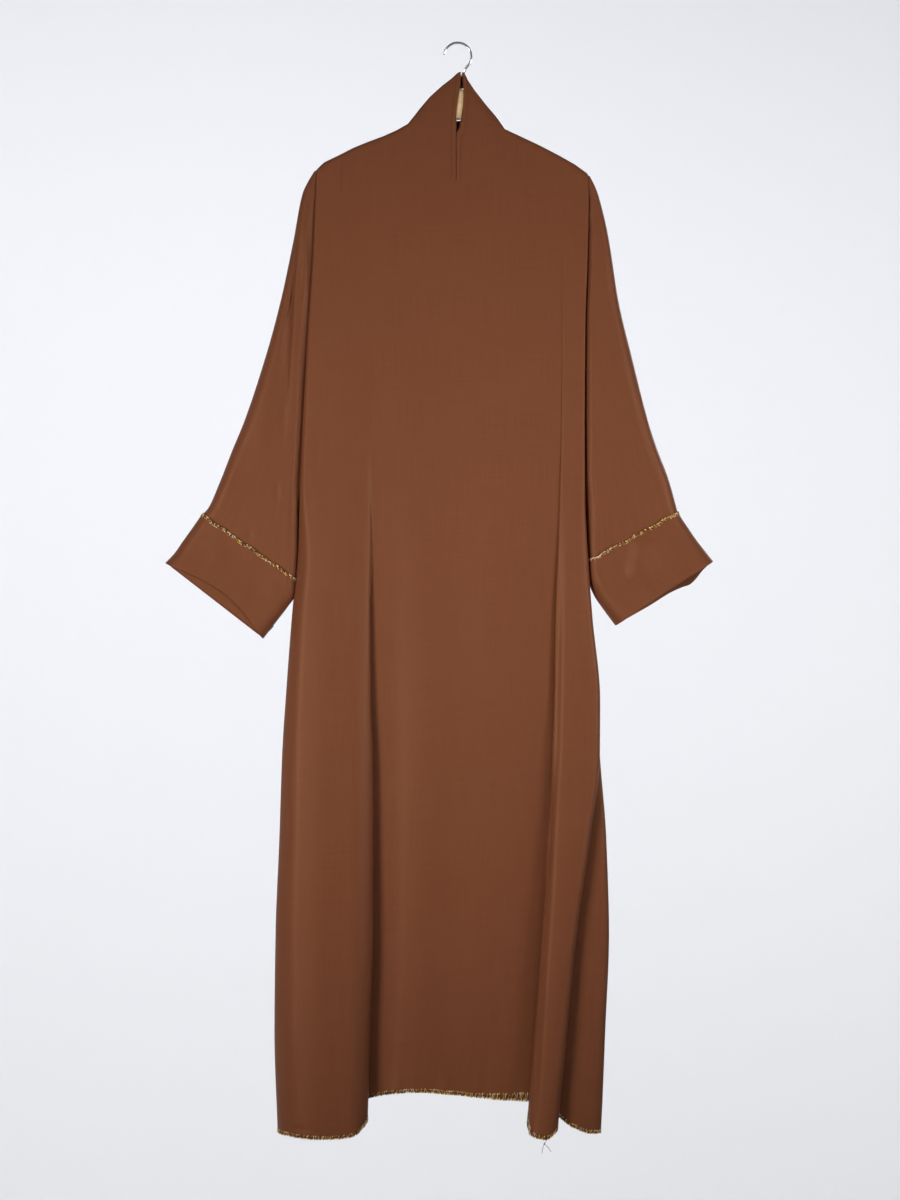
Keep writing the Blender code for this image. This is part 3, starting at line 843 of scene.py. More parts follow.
def overlock_tree() -> Tree:
    """Builds the tree of one looper yarn, which loops over an edge once for each pitch.

    Each loop goes up the front from the edge to the needle line, through, and down the back.

    Returns:
        The tree.
    """
    lengths = ("Pitch", "Inset", "Width", "Stand Off", "Yarn Radius", "Thin Share", "Unevenness")
    inputs = {**dict.fromkeys(lengths, "Float"), "Seed": "Int", "Material": "Material"}
    tree, take, result = new_tree("Overlock yarn", inputs)
    add = partial(add_node, tree)
    curve = add("GeometryNodeMeshToCurve", {"Mesh": take["Geometry"]})
    length = add(MATH, (take["Pitch"], float(YARN_STEPS)), operation="DIVIDE")
    spaced = add("GeometryNodeResampleCurve", {"Curve": curve, "Length": length}, mode="LENGTH")
    index = add("GeometryNodeInputIndex")
    step = add(MATH, (index, float(YARN_STEPS)), operation="MODULO")

    # share is 0 at the cloth's edge and 1 at the needle line, and side is 1 in front and -1 behind
    to_middle = add(MATH, (YARN_MIDDLE, step), operation="SUBTRACT")
    side = add(MATH, (to_middle,), operation="SIGN")
    away = add(MATH, (to_middle,), operation="ABSOLUTE")
    share = add(MATH, (away, -0.5, YARN_MIDDLE / 2), operation="MULTIPLY_ADD")

    # Each step wanders on its own, and each half loop has its own random tone, whose top end is a painted
    # glint
    halves = add(MATH, (index, YARN_STEPS / 2), operation="DIVIDE")
    half_loop = add(MATH, (halves,), operation="FLOOR")
    drawn = []
    for offset, each, low in ((1.0, index, -1.0), (2.0, half_loop, 0.0)):
        seed = add(MATH, (take["Seed"], offset), operation="ADD")
        limits = {"ID": each, "Seed": seed, 2: low, 3: 1.0}
        drawn.append(add("FunctionNodeRandomValue", limits, 1, data_type="FLOAT"))
    wander = add(MATH, (drawn[0], take["Unevenness"]), operation="MULTIPLY")

    # Each step's place, from the path's own directions
    breadth, inward, face = (
        add(ATTRIBUTE, {"Name": name}, data_type=kind)
        for name, kind in (("breadth", "FLOAT"), ("inward", "FLOAT_VECTOR"), ("face", "FLOAT_VECTOR"))
    )
    level = add(MATH, (share, take["Width"], take["Inset"]), operation="MULTIPLY_ADD")
    wide = add(MATH, (level, breadth), operation="MULTIPLY")
    reach = add(MATH, (wide, wander), operation="ADD")
    lift = add(MATH, (side, take["Stand Off"]), operation="MULTIPLY")
    moves = [
        add(VECTOR_MATH, {0: vector, "Scale": by}, operation="SCALE")
        for vector, by in ((inward, reach), (face, lift))
    ]
    move = add(VECTOR_MATH, moves, operation="ADD")
    # The random tone goes on the yarn as an attribute; the material paints its top end as a glint
    mark = {"Geometry": spaced, "Name": "glint", "Value": drawn[1]}
    marked = add("GeometryNodeStoreNamedAttribute", mark, data_type="FLOAT", domain="POINT")
    looped = add("GeometryNodeSetPosition", {"Geometry": marked, "Offset": move})

    # The yarn is thinner between its turns
    twice = add(MATH, (share, 2.0, -1.0), operation="MULTIPLY_ADD")
    at_turn = add(MATH, (twice,), operation="ABSOLUTE")
    fuller = add(MATH, (1.0, take["Thin Share"]), operation="SUBTRACT")
    thinned = add(MATH, (at_turn, fuller, take["Thin Share"]), operation="MULTIPLY_ADD")
    radius = add(MATH, (thinned, take["Yarn Radius"]), operation="MULTIPLY")
    sized = add("GeometryNodeSetCurveRadius", {"Curve": looped, "Radius": radius})
    profile = add("GeometryNodeCurvePrimitiveCircle", {"Resolution": YARN_SIDES, "Radius": 1.0})
    yarn = add("GeometryNodeCurveToMesh", {"Curve": sized, "Profile Curve": profile, "Fill Caps": True})
    if "Scale" in yarn.node.inputs:
        tree.links.new(radius, yarn.node.inputs["Scale"])
    end_tree(tree, yarn, take["Material"], result)
    return tree


def lockstitch_tree() -> Tree:
    """Builds the tree of a row of lockstitches: a short bead of thread laid along the line at each pitch.

    Returns:
        The tree.
    """
    lengths = ("Pitch", "Stitch Length", "Thread Radius", "Stand Off")
    inputs = {**dict.fromkeys(lengths, "Float"), "Material": "Material"}
    tree, take, result = new_tree("Lockstitch row", inputs)
    add = partial(add_node, tree)
    curve = add("GeometryNodeMeshToCurve", {"Mesh": take["Geometry"]})
    spaced = add("GeometryNodeResampleCurve", {"Curve": curve, "Length": take["Pitch"]}, mode="LENGTH")
    face = add(ATTRIBUTE, {"Name": "face"}, data_type="FLOAT_VECTOR")
    lift = add(VECTOR_MATH, {0: face, "Scale": take["Stand Off"]}, operation="SCALE")
    raised = add("GeometryNodeSetPosition", {"Geometry": spaced, "Offset": lift})
    tangent = add("GeometryNodeInputTangent")
    turned = add("FunctionNodeAlignRotationToVector", {"Vector": tangent}, axis="X")
    bead = add("GeometryNodeMeshIcoSphere", {"Radius": 1.0, "Subdivisions": 2})
    half = add(MATH, (take["Stitch Length"], 0.5), operation="MULTIPLY")
    size = add("ShaderNodeCombineXYZ", (half, take["Thread Radius"], take["Thread Radius"]))
    values = {"Points": raised, "Instance": bead, "Rotation": turned, "Scale": size}
    laid = add("GeometryNodeInstanceOnPoints", values)
    end_tree(tree, laid, take["Material"], result)
    return tree


class YarnRow(NamedTuple):
    """One yarn of the overlocked edge, in millimetres."""

    pitch: float
    inset: float
    width: float
    radius: float
    thin: float


@dataclass
class Sewing:
    """The machine work on the cloth: gold overlocked edges and brown lockstitches.

    Attributes:
        stand_off: How far a yarn's middle lies from the cloth's.
        unevenness: How far a yarn wanders from its line.
        thread_lift: How far a lockstitch's middle lies out from the cloth's face.
    """

    gold: Finish
    thread: Finish
    stand_off: float = 0.62
    unevenness: float = 0.32
    rows: tuple[YarnRow, ...] = (
        YarnRow(pitch=2.4, inset=-0.2, width=4.4, radius=0.30, thin=0.8),
        YarnRow(pitch=2.1, inset=-0.9, width=1.6, radius=0.56, thin=0.9),
        YarnRow(pitch=2.7, inset=3.4, width=1.2, radius=0.42, thin=0.9),
    )
    stitch_pitch: float = 3.1
    stitch_length: float = 2.7
    thread_radius: float = 0.24
    thread_lift: float = 0.08
    overlock: Tree = field(default_factory=overlock_tree)
    lockstitch: Tree = field(default_factory=lockstitch_tree)

    def edge(self, name: str, path: EdgePath, seed: int, closed: bool = False) -> Piece:
        """Overlocks an edge with all the yarns, joined to one piece.

        Args:
            name: The piece's name.
            path: The cloth's edge.
            seed: Seed of the yarns' unevenness.
            closed: Whether the edge is a ring.

        Returns:
            The new piece, on the body.
        """
        yarns = []
        for number, row in enumerate(self.rows):
            lengths = {
                "Pitch": row.pitch,
                "Inset": row.inset,
                "Width": row.width,
                "Stand Off": self.stand_off,
                "Yarn Radius": row.radius,
                "Unevenness": self.unevenness,
            }
            values = {key: length * MM for key, length in lengths.items()}
            values |= {"Thin Share": row.thin, "Seed": seed + number, "Material": self.gold}
            yarns.append(apply_tree(path.line(closed), self.overlock, values, name))
        return dress(join(yarns, name))

    def stitches(self, name: str, paths: Sequence[EdgePath]) -> Piece:
        """Sews rows of lockstitches, joined to one piece.

        Args:
            name: The piece's name.
            paths: Where the rows run.

        Returns:
            The new piece, on the body.
        """
        lengths = {
            "Pitch": self.stitch_pitch,
            "Stitch Length": self.stitch_length,
            "Thread Radius": self.thread_radius,
            "Stand Off": CLOTH_THICKNESS / 2 + self.thread_lift,
        }
        values = {key: length * MM for key, length in lengths.items()} | {"Material": self.thread}
        rows = [apply_tree(path.line(False), self.lockstitch, values, name) for path in paths]
        return dress(join(rows, name))


def join(pieces: Sequence[Piece], name: str) -> Piece:
    """Joins mesh objects of one material.

    Args:
        pieces: The objects, which are removed.
        name: The new piece's name.

    Returns:
        The new object.
    """
    points, faces, tones_and_painted_glints = [], [], []
    finish = next(filter(None, pieces[0].data.materials))
    start = 0
    for piece in pieces:
        mesh = piece.data
        places = np.empty(len(mesh.vertices) * 3)
        mesh.vertices.foreach_get("co", places)
        points.append(places.reshape(-1, 3))
        faces.extend([tuple(v + start for v in polygon.vertices) for polygon in mesh.polygons])
        # The yarn's random tone, with its painted glints, carries over to the joined mesh
        values = np.zeros(len(mesh.vertices), np.float32)
        if "glint" in mesh.attributes:
            mesh.attributes["glint"].data.foreach_get("value", values)
        tones_and_painted_glints.append(values)
        start += len(values)
        bpy.data.objects.remove(piece, do_unlink=True)
        bpy.data.meshes.remove(mesh)
    whole = mesh_object(name, np.concatenate(points) / MM, faces, finish)
    attribute = whole.data.attributes.new("glint", "FLOAT", "POINT")
    attribute.data.foreach_set("value", np.concatenate(tones_and_painted_glints))
    return whole


# The body


class BodyLevel(NamedTuple):
    """Sizes of the body's section at one height.

    The left roll runs from left_edge to left_groove and the right roll from right_groove to right_fold. The
    cloth behind that fold comes out again to outer_edge. side is where the front's edge lies: in front of
    the middle plane (negative) along the armhole, and behind it at the side seam.
    """

    drop: float
    left_edge: float
    left_groove: float
    right_groove: float
    right_fold: float
    outer_edge: float
    crown: float
    recess: float
    side: float
    tuck: float
    back: float


BODY_LEVELS = tuple(BodyLevel(*row) for row in (
    (180, -202, -128, 154, 188, 188, 8.6, 8.6, -7.1, 0, 8.6),
    (225, -204.5, -128, 154, 190, 190, 10, 10, -7.8, 0, 10),
    (300, -207.5, -128, 154, 188.5, 188.5, 12, 11.5, -8.8, 0, 12),
    (415, -215, -128, 154, 185, 185, 15.5, 14, -10, 0, 16),
    (560, -223, -127, 153, 184, 184, 18.5, 16, -10.2, 0, 20),
    (650, -226.5, -124, 151, 184, 184, 20.5, 16.5, -10.2, 0, 22),
    (735, -230, -122, 148, 188, 186.5, 22, 16, 4, 2, 24),
    (830, -239, -123, 144, 195, 191, 24.5, 15, 6, 5, 27),
    (950, -248, -123, 142, 206, 202, 28, 14, 7, 9, 31),
    (1028, -253, -121, 139.5, 205.5, 206.5, 31, 13, 8, 11, 33),
    (1150, -257, -120, 135, 191, 216, 35, 11.5, 8, 12, 37),
    (1290, -262.5, -120, 124, 171.5, 220, 39, 10, 8, 12, 41),
    (1430, -264, -124.5, 113.5, 158, 214.5, 43, 9, 8, 11, 44),
    (1580, -259, -128, 101, 143, 208.5, 46, 8, 8, 10, 46),
))

# The top edge as (x, drop): shoulder seams outside the neck points, drawn-up neckline between them
TOP_EDGE = np.array((
    (-202, 180.6), (-193, 171.5), (-171, 161), (-151, 150.6), (-129, 141.6), (-107, 133.4), (-87, 124.4),
    (-71, 115), (-53.5, 93), (-39, 76.5), (-21, 60.5), (-8, 50.5), (2.5, 41), (10, 40.8), (15, 52), (25, 67),
    (42, 88.5), (58, 106.5), (69.5, 122.8), (90, 132.6), (120, 146.8), (149, 162), (171, 174.5), (188, 187),
))
NECK_LEFT = -71.0
NECK_RIGHT = 69.5
STEM_X = 3.0

# The hanger's bar, whose top follows the cloth that lies on it
BAR_THICKNESS = 12.0
BAR_LEFT_END = -192.5
BAR_RIGHT_END = 183.5
BAR_CLEARANCE = 0.4
BAR_HUMP_TOP = 65.0
BAR_HUMP_HALF_WIDTH = 60.0
BAR_END_ROUNDING = 16.0
BAR_END_FALL = 7.0
UNDER_CLOTH = CAD_WALL + 0.3
OVER_BAR = BAR_THICKNESS / 2 + 0.3 + CAD_WALL / 2
SEAM_HALF = 0.36
HEAD = OVER_BAR * math.pi / 2


def top_edge_drop(x: Array | float) -> Array:
    """Drop of the front's top edge at places across."""
    return np.interp(x, TOP_EDGE[:, 0], TOP_EDGE[:, 1])


def neck_chord_drop(x: Array | float) -> Array:
    """Drop of the straight line between the neck points at places across."""
    ends = (NECK_LEFT, NECK_RIGHT)
    return np.interp(x, ends, top_edge_drop(np.array(ends)))


def bar_top_drop(x: float) -> float:
    """Drop of the bar's top, which has a hump round the stem and falls at its ends.

    Args:
        x: A place along the bar.

    Returns:
        The drop there.
    """
    inside = abs(x - STEM_X) < abs(NECK_LEFT - STEM_X)
    top = float(neck_chord_drop(x) if inside else top_edge_drop(x)) + UNDER_CLOTH + BAR_CLEARANCE
    to_end = min(x - BAR_LEFT_END, BAR_RIGHT_END - x)
    top += BAR_END_FALL * max(0.0, 1 - to_end / BAR_END_ROUNDING) ** 2
    away = abs(x - STEM_X) / BAR_HUMP_HALF_WIDTH
    return float(top - (top - BAR_HUMP_TOP) * (1 - soft_step(away)))


@dataclass
class BodyCloth:
    """What the front and the back of the body share: how a column hangs from the top edge to the hem.

    Attributes:
        head_steps: The first rows' places, as shares of the way over the bar.
        stretches: The end of each stretch below them and the spacing of its rows.
        free_depth: Cloth that starts this far from the middle plane doesn't lie on the bar.
    """

    finish: Finish
    sewing: Sewing
    head_steps: Row = (0.2, 0.45, 0.7)
    stretches: Pairs = ((70, 3.6), (200, 5.0), (1350, 7.4), (1420, 3.4))
    free_depth: float = 1.6

    def arcs(self, length: float) -> Array:
        """Works out where a column's places lie along it.

        Args:
            length: The column's length from its top edge to the hem.

        Returns:
            Distances down from its top edge.
        """
        rest = stations(self.stretches, HEAD)[1:]
        below = HEAD + (rest - HEAD) * (length - HEAD) / (rest[-1] - HEAD)
        return np.concatenate([HEAD * np.array((0.0, *self.head_steps, 1.0)), below])

    def hang(self, sections: Array, top: Array, hem: Array, start_depth: Array, lean_end: Array) -> Array:
        """Hangs the columns from the top edge to the hem.

        Args:
            sections: Places (x, y) of each column at each of BODY_LEVELS.
            top: Drop of each column's top.
            hem: Drop of each column's hem.
            start_depth: How far from the middle plane each column starts.
            lean_end: How far below its top a column that isn't on the bar reaches the bar's face.

        Returns:
            The grid (row, column, xyz).
        """
        drops = np.array([level.drop for level in BODY_LEVELS], float)
        columns = []
        for number, (start, lean_length) in enumerate(zip(start_depth, lean_end)):
            arcs = self.arcs(hem[number] - top[number])
            turn = np.minimum(arcs / OVER_BAR, math.pi / 2)
            round_bar = OVER_BAR * np.sin(turn)
            fallen = OVER_BAR * (1 - np.cos(turn)) + np.maximum(arcs - HEAD, 0)
            leaning = start + (OVER_BAR - start) * np.sin(np.minimum(arcs / lean_length, 1.0) * math.pi / 2)
            free = soft_step(start / self.free_depth)
            ahead = np.maximum(free * leaning + (1 - free) * round_bar, SEAM_HALF)
            down = free * arcs + (1 - free) * fallen
            down[-1] = hem[number] - top[number]
            place = smooth_between(drops, sections[:, number], top[number] + down)
            depth = place[:, 1] * ahead / OVER_BAR
            columns.append(np.column_stack([place[:, 0], depth, -top[number] - down]))
        return np.array(columns).transpose(1, 0, 2)


class FoldPoint(NamedTuple):
    """A guiding point round the right fold: see FrontBody.guides."""

    over: float
    tuck: float
    inwards: float
    set_in: float
    back: float


class FlankPoint(NamedTuple):
    """A guiding point down a roll's flank: millimetres out from the groove, and shares of its step.

    early_out takes the place of out where the roll has barely begun.
    """

    out: float
    lean: float
    height: float
    early_out: float


@dataclass
class FrontBody(BodyCloth):
    """The front of the body: two deep rolls with a recess between, and a tucked fold on the right.

    Attributes:
        spacing: Distance between columns, except beside the slit, where they are closer.
        beside_slit: The share of that distance there.
        round_left_edge: Shares of the depth in from the left edge and forwards, round it.
        groove_drops: Drops at which groove_sinks gives the left groove's depth.
        groove_reach: Share of the recess over which it sinks with its groove.
        full_roll: Step between roll and recess at which a flank has its full shape.
        right_crest_shift: How far right of its middle the right roll's crest lies.
        centre: Lines of the recess: share of the way across, swell at the hem, drop of the hem.
        hem_left: Drops of the hem at the guiding points left of the recess, and hem_right right of it.
        slit: The lips' drop, left x and right x, closed above slit_top and below slit_bottom.
        slit_spread: How far from the slit its columns follow its lips.
        slit_return: How far below it they go back to their own way.
        turnings: Where the slit's edges turn in behind it: first drop, last drop and depth.
        hem_breadth: How many times its usual width the hem's gold edge has, as (x, times).
    """

    spacing: float = 4.2
    beside_slit: float = 0.5
    round_left_edge: Pairs = ((0.06, 0.0), (0.0, 0.27), (0.24, 0.66), (0.70, 0.94))
    left_flank: tuple[FlankPoint, ...] = (
        FlankPoint(27, 0.05, 0.98, 38), FlankPoint(12, 0.04, 0.84, 22), FlankPoint(1, 0.0, 0.50, 6),
        FlankPoint(12, 0.0, 0.06, -10),
    )
    groove_drops: Row = (430, 560, 700, 850, 1000, 1200, 1400, 1600)
    groove_sinks: Row = (0, 1.5, 6, 11, 13, 11, 8, 5)
    groove_reach: float = 0.6
    right_flank: tuple[FlankPoint, ...] = (
        FlankPoint(2, 0.02, 0.06, 0), FlankPoint(-4, -0.01, 0.45, -2), FlankPoint(-1, 0.03, 0.79, 0),
        FlankPoint(9, 0.06, 0.96, 8),
    )
    full_roll: float = 30.0
    right_crest_shift: float = 4.0
    s_fold: tuple[FoldPoint, ...] = (
        FoldPoint(0, 0, 0.10, 1, 0.05), FoldPoint(0, 0, 0.0, 0, 0.27), FoldPoint(0, 0.1, 0, 0, 0.45),
        FoldPoint(0, 0.85, 0, 0, 0.53), FoldPoint(0, 0.9, 0, 0, 0.57), FoldPoint(0.35, 0.15, 0, 0, 0.585),
        FoldPoint(0.8, 0, 0.0, 0, 0.62), FoldPoint(1, 0, 0, 0, 0.78), FoldPoint(1, 0, 0.06, 0, 1),
    )
    centre: tuple[Place, ...] = (
        (0.117, 0.8, 1521.5), (0.202, 1.6, 1519), (0.284, 1.0, 1518), (0.369, -0.6, 1518.5),
        (0.445, -1.4, 1520), (0.463, -1.4, 1520.5), (0.543, -0.8, 1522), (0.624, 0.6, 1524),
        (0.700, 1.5, 1525.5), (0.820, 1.0, 1528),
    )
    hem_left: Row = (1574, 1575, 1575, 1576, 1577, 1575, 1569, 1554, 1532)
    hem_right: Row = (
        1530, 1556, 1569, 1575, 1577, 1572, 1563, 1548, 1538, 1541, 1566, 1576.5, 1576.5, 1576,
    )
    slit_line: int = 4
    hem_point_step: float = 10.0
    slit: tuple[Place, ...] = (
        (41, 5.3, 7.6), (47, 5.2, 8.2), (57, 4.6, 8.9), (66, 3.8, 9.3), (86, 0.6, 8.9), (106, -1.3, 6.3),
        (116, -1.5, 5.4), (123, -1.4, 4.4), (129, -1.2, -0.2), (150, -1.5, -0.7), (196, -1.5, -0.8),
    )
    slit_top: float = 30.0
    slit_bottom: float = 196.0
    slit_spread: float = 22.0
    slit_return: float = 200.0
    lip_turn: float = 0.5
    at_stem: float = 4.0
    neck_rise: float = 45.0
    bar_face: float = 7.0
    turnings: tuple[Place, ...] = ((46.5, 64.5, 1.4), (111.0, 190.0, 2.6))
    turning_rows: int = 9
    stitch_inset: float = 6.5
    stitch_search: int = 8
    hem_breadth: Pairs = ((-120, 1.0), (20, 1.15), (92, 2.4), (104, 2.4), (110, 1.0))
    knot: Place = (124.6, -47.5, -1583.0)
    strands: tuple[tuple[Place, ...], ...] = (
        ((129.1, -45, -1571), (127.4, -47.6, -1578.5), knot, (122.2, -48.2, -1590), (121.3, -47, -1596.5)),
        (knot, (129.6, -47.8, -1588), (134.2, -46.5, -1594.5)),
    )
    strand_places: int = 26
    loose_radius: float = 0.33
    knot_radius: float = 0.55
    knot_size: float = 1.2

    def guides(self, level: BodyLevel) -> Array:
        """Guiding points (x, y) of the front's section at one height, from its left edge to its right.

        Args:
            level: The sizes at that height.

        Returns:
            One point a row. Across the recess they keep to the lines of centre, and round the right fold
            each is so much over to the outer edge, less a share of the tuck, and so much of the depth back.
        """
        depth = level.crown + level.side
        step = level.crown - level.recess
        sink = float(np.interp(level.drop, self.groove_drops, self.groove_sinks))
        points = [(level.left_edge + a * depth, level.side - b * depth) for a, b in self.round_left_edge]
        points.append(((level.left_edge + level.left_groove) / 2, -level.crown))
        begun = min((step + sink) / self.full_roll, 1.0)
        for point in self.left_flank:
            out = begun * point.out + (1 - begun) * point.early_out
            x = level.left_groove - out - point.lean * (step + sink)
            points.append((x, sink - level.recess - point.height * (step + sink)))
        width = level.right_groove - level.left_groove
        grown = level.drop / BODY_LEVELS[-1].drop
        for share, swell, _ in self.centre:
            sunk = sink * max(1 - share / self.groove_reach, 0)
            points.append((level.left_groove + share * width, sunk - level.recess - swell * grown))
        for point in self.right_flank:
            x = level.right_groove + begun * point.out + (1 - begun) * point.early_out + point.lean * step
            points.append((x, -level.recess - point.height * step))
        points.append(((level.right_groove + level.right_fold) / 2 + self.right_crest_shift, -level.crown))
        for fold in self.s_fold:
            x = level.right_fold + fold.over * (level.outer_edge - level.right_fold)
            x -= fold.tuck * level.tuck + fold.inwards * depth + fold.set_in
            points.append((x, -level.crown + fold.back * depth))
        return np.array(points)

    @property
    def left_lip(self) -> int:
        """Index of the guiding line that becomes the slit's left lip. The next one is its right lip."""
        return len(self.hem_left) + self.slit_line

    def columns(self) -> Array:
        """Works out where the columns lie, evenly spaced along the cloth.

        Returns:
            The columns' fractional indexes among the guiding points.
        """
        gaps = [np.linalg.norm(np.diff(self.guides(level), axis=0), axis=1) for level in BODY_LEVELS]
        places = [0.0]
        for index, gap in enumerate(np.max(gaps, axis=0)):
            spacing = self.spacing * (self.beside_slit if abs(index - self.left_lip) == 1 else 1.0)
            count = 1 if index == self.left_lip else max(2, round(gap / spacing))
            places.extend(index + (np.arange(count) + 1) / count)
        return np.array(places)

    def grid(self) -> tuple[Array, int, Array]:
        """Lays out the cloth before its creases.

        Returns:
            The grid (row, column, xyz), the slit's left column and the mask of its open rows.
        """
        columns = self.columns()
        sections = np.array([curve_at(self.guides(level), columns) for level in BODY_LEVELS])
        drops = [*self.hem_left, *(line[2] for line in self.centre), *self.hem_right]
        steps = np.arange(len(drops)) * self.hem_point_step
        hem = curve_at(np.column_stack([steps, drops]), columns)[:, 1]
        x = sections[0, :, 0]
        slit = int(np.flatnonzero(np.isclose(columns, self.left_lip))[0])
        left = np.arange(len(x)) <= slit
        away = np.where(left, x[slit] - x, x - x[slit + 1])
        near = np.exp(-((away / self.slit_spread) ** 2))
        lips = np.array(self.slit)
        top_x = x + np.where(left, lips[0, 1] - x[slit], lips[0, 2] - x[slit + 1]) * near
        top = top_edge_drop(top_x) + CAD_WALL / 2
        start = self.at_stem * soft_step(np.minimum(top_x - NECK_LEFT, NECK_RIGHT - top_x) / self.neck_rise)
        face = np.array([bar_top_drop(place) + self.bar_face for place in top_x])
        grid = self.hang(sections, top, hem, start, np.maximum(face - top, HEAD))
        for lip, edge, side in ((slit, 1, left), (slit + 1, 2, ~left)):
            drop = -grid[:, lip, 2]
            following = 1 - soft_step((drop - self.slit_bottom) / self.slit_return)
            shift = (smooth_between(lips[:, 0], lips[:, edge], drop) - grid[:, lip, 0]) * following
            grid[:, side, 0] += shift[:, None] * near[None, side]
        drop = -grid[:, slit, 2]
        return grid, slit, (drop > self.slit_top) & (drop < self.slit_bottom)

    def creases(self) -> tuple[Crease, ...]:
        """Lists the front's creases and softer undulations, read off the photograph.

        Returns:
            The creases.
        """
        return (
            # Tension folds from the hook down to the shoulders and the chest
            Crease(((-6, 70), (-40, 150), (-92, 260), (-120, 380)), 1.1, 16, 22),
            Crease(((14, 72), (52, 160), (96, 280), (118, 420)), 0.9, 18, 16),
            Crease(((-20, 84), (-78, 138), (-150, 178)), -0.8, 12, 12),
            Crease(((26, 92), (80, 148), (146, 184)), -0.8, 12, 12),
            Crease(((1, 205), (-6, 330), (4, 520)), 1.2, 26, 22),
            # Pressed line across the right side of the drawn-up neck
            Crease(((13, 119), (30, 118.5), (47, 121)), 0.0, 2.6, 2.6, 0.55),
            # Edge of the hem turned in along the slit's right lip
            Crease(((14.5, 58), (13.2, 100), (9, 150)), 0.0, 2.0, 2.0, 0.3),
            # Pressed lines of an old fold above the hem
            Crease(((-107, 1456), (-88, 1449), (-68, 1443), (-30, 1436)), 0.9, 2.6, 2.6),
            Crease(((-262, 1479), (-210, 1478), (-165, 1480)), 0.0, 3.0, 3.0, 0.6),
            Crease(((-258, 1562), (-225, 1563), (-190, 1566)), -1.3, 3.0, 3.0, 0.3),
            # Old fold on the outer layer and the small wrinkles of the tucked fold
            Crease(((196, 1304), (208, 1312), (220, 1321)), 0.5, 2.6, 2.6),
            Crease(((168, 1218), (182, 1226)), 0.9, 4, 6),
            Crease(((165, 1281), (177, 1287)), 0.8, 4, 5),
            # The recess sinks towards its grooves
            Crease(((139, 560), (132, 900), (114, 1280), (96, 1640)), -2.0, 14, 18, rise=0.35, fade=0),
            Crease(
                ((152, 640), (146, 864), (143, 1019), (134, 1135), (128, 1253), (120, 1369), (105, 1640)),
                -3, 4, 6, rise=0.25, fade=0.2,
            ),
            # Long soft swells
            Crease(((-60, 560), (-46, 900), (-52, 1640)), 2.2, 38, 34, fade=0),
            Crease(((36, 700), (44, 1050), (38, 1640)), -1.8, 34, 30, fade=0),
            Crease(((-190, 620), (-196, 1000), (-204, 1640)), 0.8, 24, 20, fade=0),
            Crease(((168, 480), (176, 760), (170, 1000)), 1.0, 10, 10),
        )

    def build(self) -> list[Piece]:
        """Makes the front's cloth, its hem, its neck's sewing and the loose thread.

        Returns:
            The new pieces.
        """
        grid, slit, open_rows = self.grid()
        way = grid[..., 2] - grid[-1:, :, 2]
        height = crease_height(grid[..., 0], -grid[..., 2], self.creases()) + hem_ripple(grid, way, 3)
        grid = grid + outward(grid, -1.0) * height[..., None]
        grid[:, slit : slit + 2, 1] += self.lip_turn * open_rows[:, None]
        skip = np.zeros((grid.shape[0] - 1, grid.shape[1] - 1), bool)
        skip[:, slit] = open_rows[:-1]
        cloth = ClothSheet("front_body_cloth", grid, self.finish, skip=skip).build()
        dress(cloth, "front_body")
        hem = EdgePath.from_grid(grid, -1, INTO_HEM, -1.0)
        breadth = np.interp(hem.places[:, 0], *np.array(self.hem_breadth).T)
        edge = self.sewing.edge("front_hem_gold_edge", hem._replace(breadth=breadth), seed=11)
        stitching = self.sewing.stitches("neck_topstitch", self._neck_paths(grid, slit, open_rows))
        turnings = [
            self._build_turning(f"slit_turning_{where}_bar", grid, slit, *sizes)
            for where, sizes in zip(("above", "below"), self.turnings)
        ]
        return [cloth, edge, stitching, *turnings, self._leave_loose_thread()]

    def _leave_loose_thread(self) -> Piece:
        """Makes the end of sewing thread that hangs, knotted, from the hem of the right roll.

        Returns:
            The new piece.
        """
        name = "loose_hem_thread"
        pieces = []
        for strand in self.strands:
            places = curve_at(np.array(strand), np.linspace(0, len(strand) - 1, self.strand_places))
            away = np.linalg.norm(places - np.array(self.knot), axis=1)
            radii = self.loose_radius + self.knot_radius * np.exp(-((away / self.knot_size) ** 2))
            pieces.append(tube(name, places, radii, 6, self.sewing.thread))
        return dress(join(pieces, name))

    def _build_turning(
        self, name: str, grid: Array, slit: int, start: float, end: float, depth: float
    ) -> Piece:
        """Makes the slit's turned-in edges where they fold across behind it.

        Args:
            name: The piece's name.
            grid: The front's grid.
            slit: Its left lip's column.
            start: Drop of the first row.
            end: Drop of the last row.
            depth: How far behind the middle plane they lie.

        Returns:
            The new piece.
        """
        rows = []
        for drop in np.linspace(start, end, self.turning_rows):
            (left, left_y), (right, right_y) = (
                [np.interp(drop, -grid[:, column, 2], grid[:, column, axis]) for axis in (0, 1)]
                for column in (slit, slit + 1)
            )
            inset = min(0.6, 0.3 * (right - left))
            rows.append([
                (left, left_y, -drop),
                (left + 0.5 * inset, 0.45 * left_y + 0.55 * depth, -drop),
                (left + inset, depth, -drop),
                ((left + right) / 2, depth + 0.5, -drop),
                (right - inset, depth, -drop),
                (right - 0.5 * inset, 0.45 * right_y + 0.55 * depth, -drop),
                (right, right_y, -drop),
            ])
        return dress(ClothSheet(name, np.array(rows), self.finish).build())

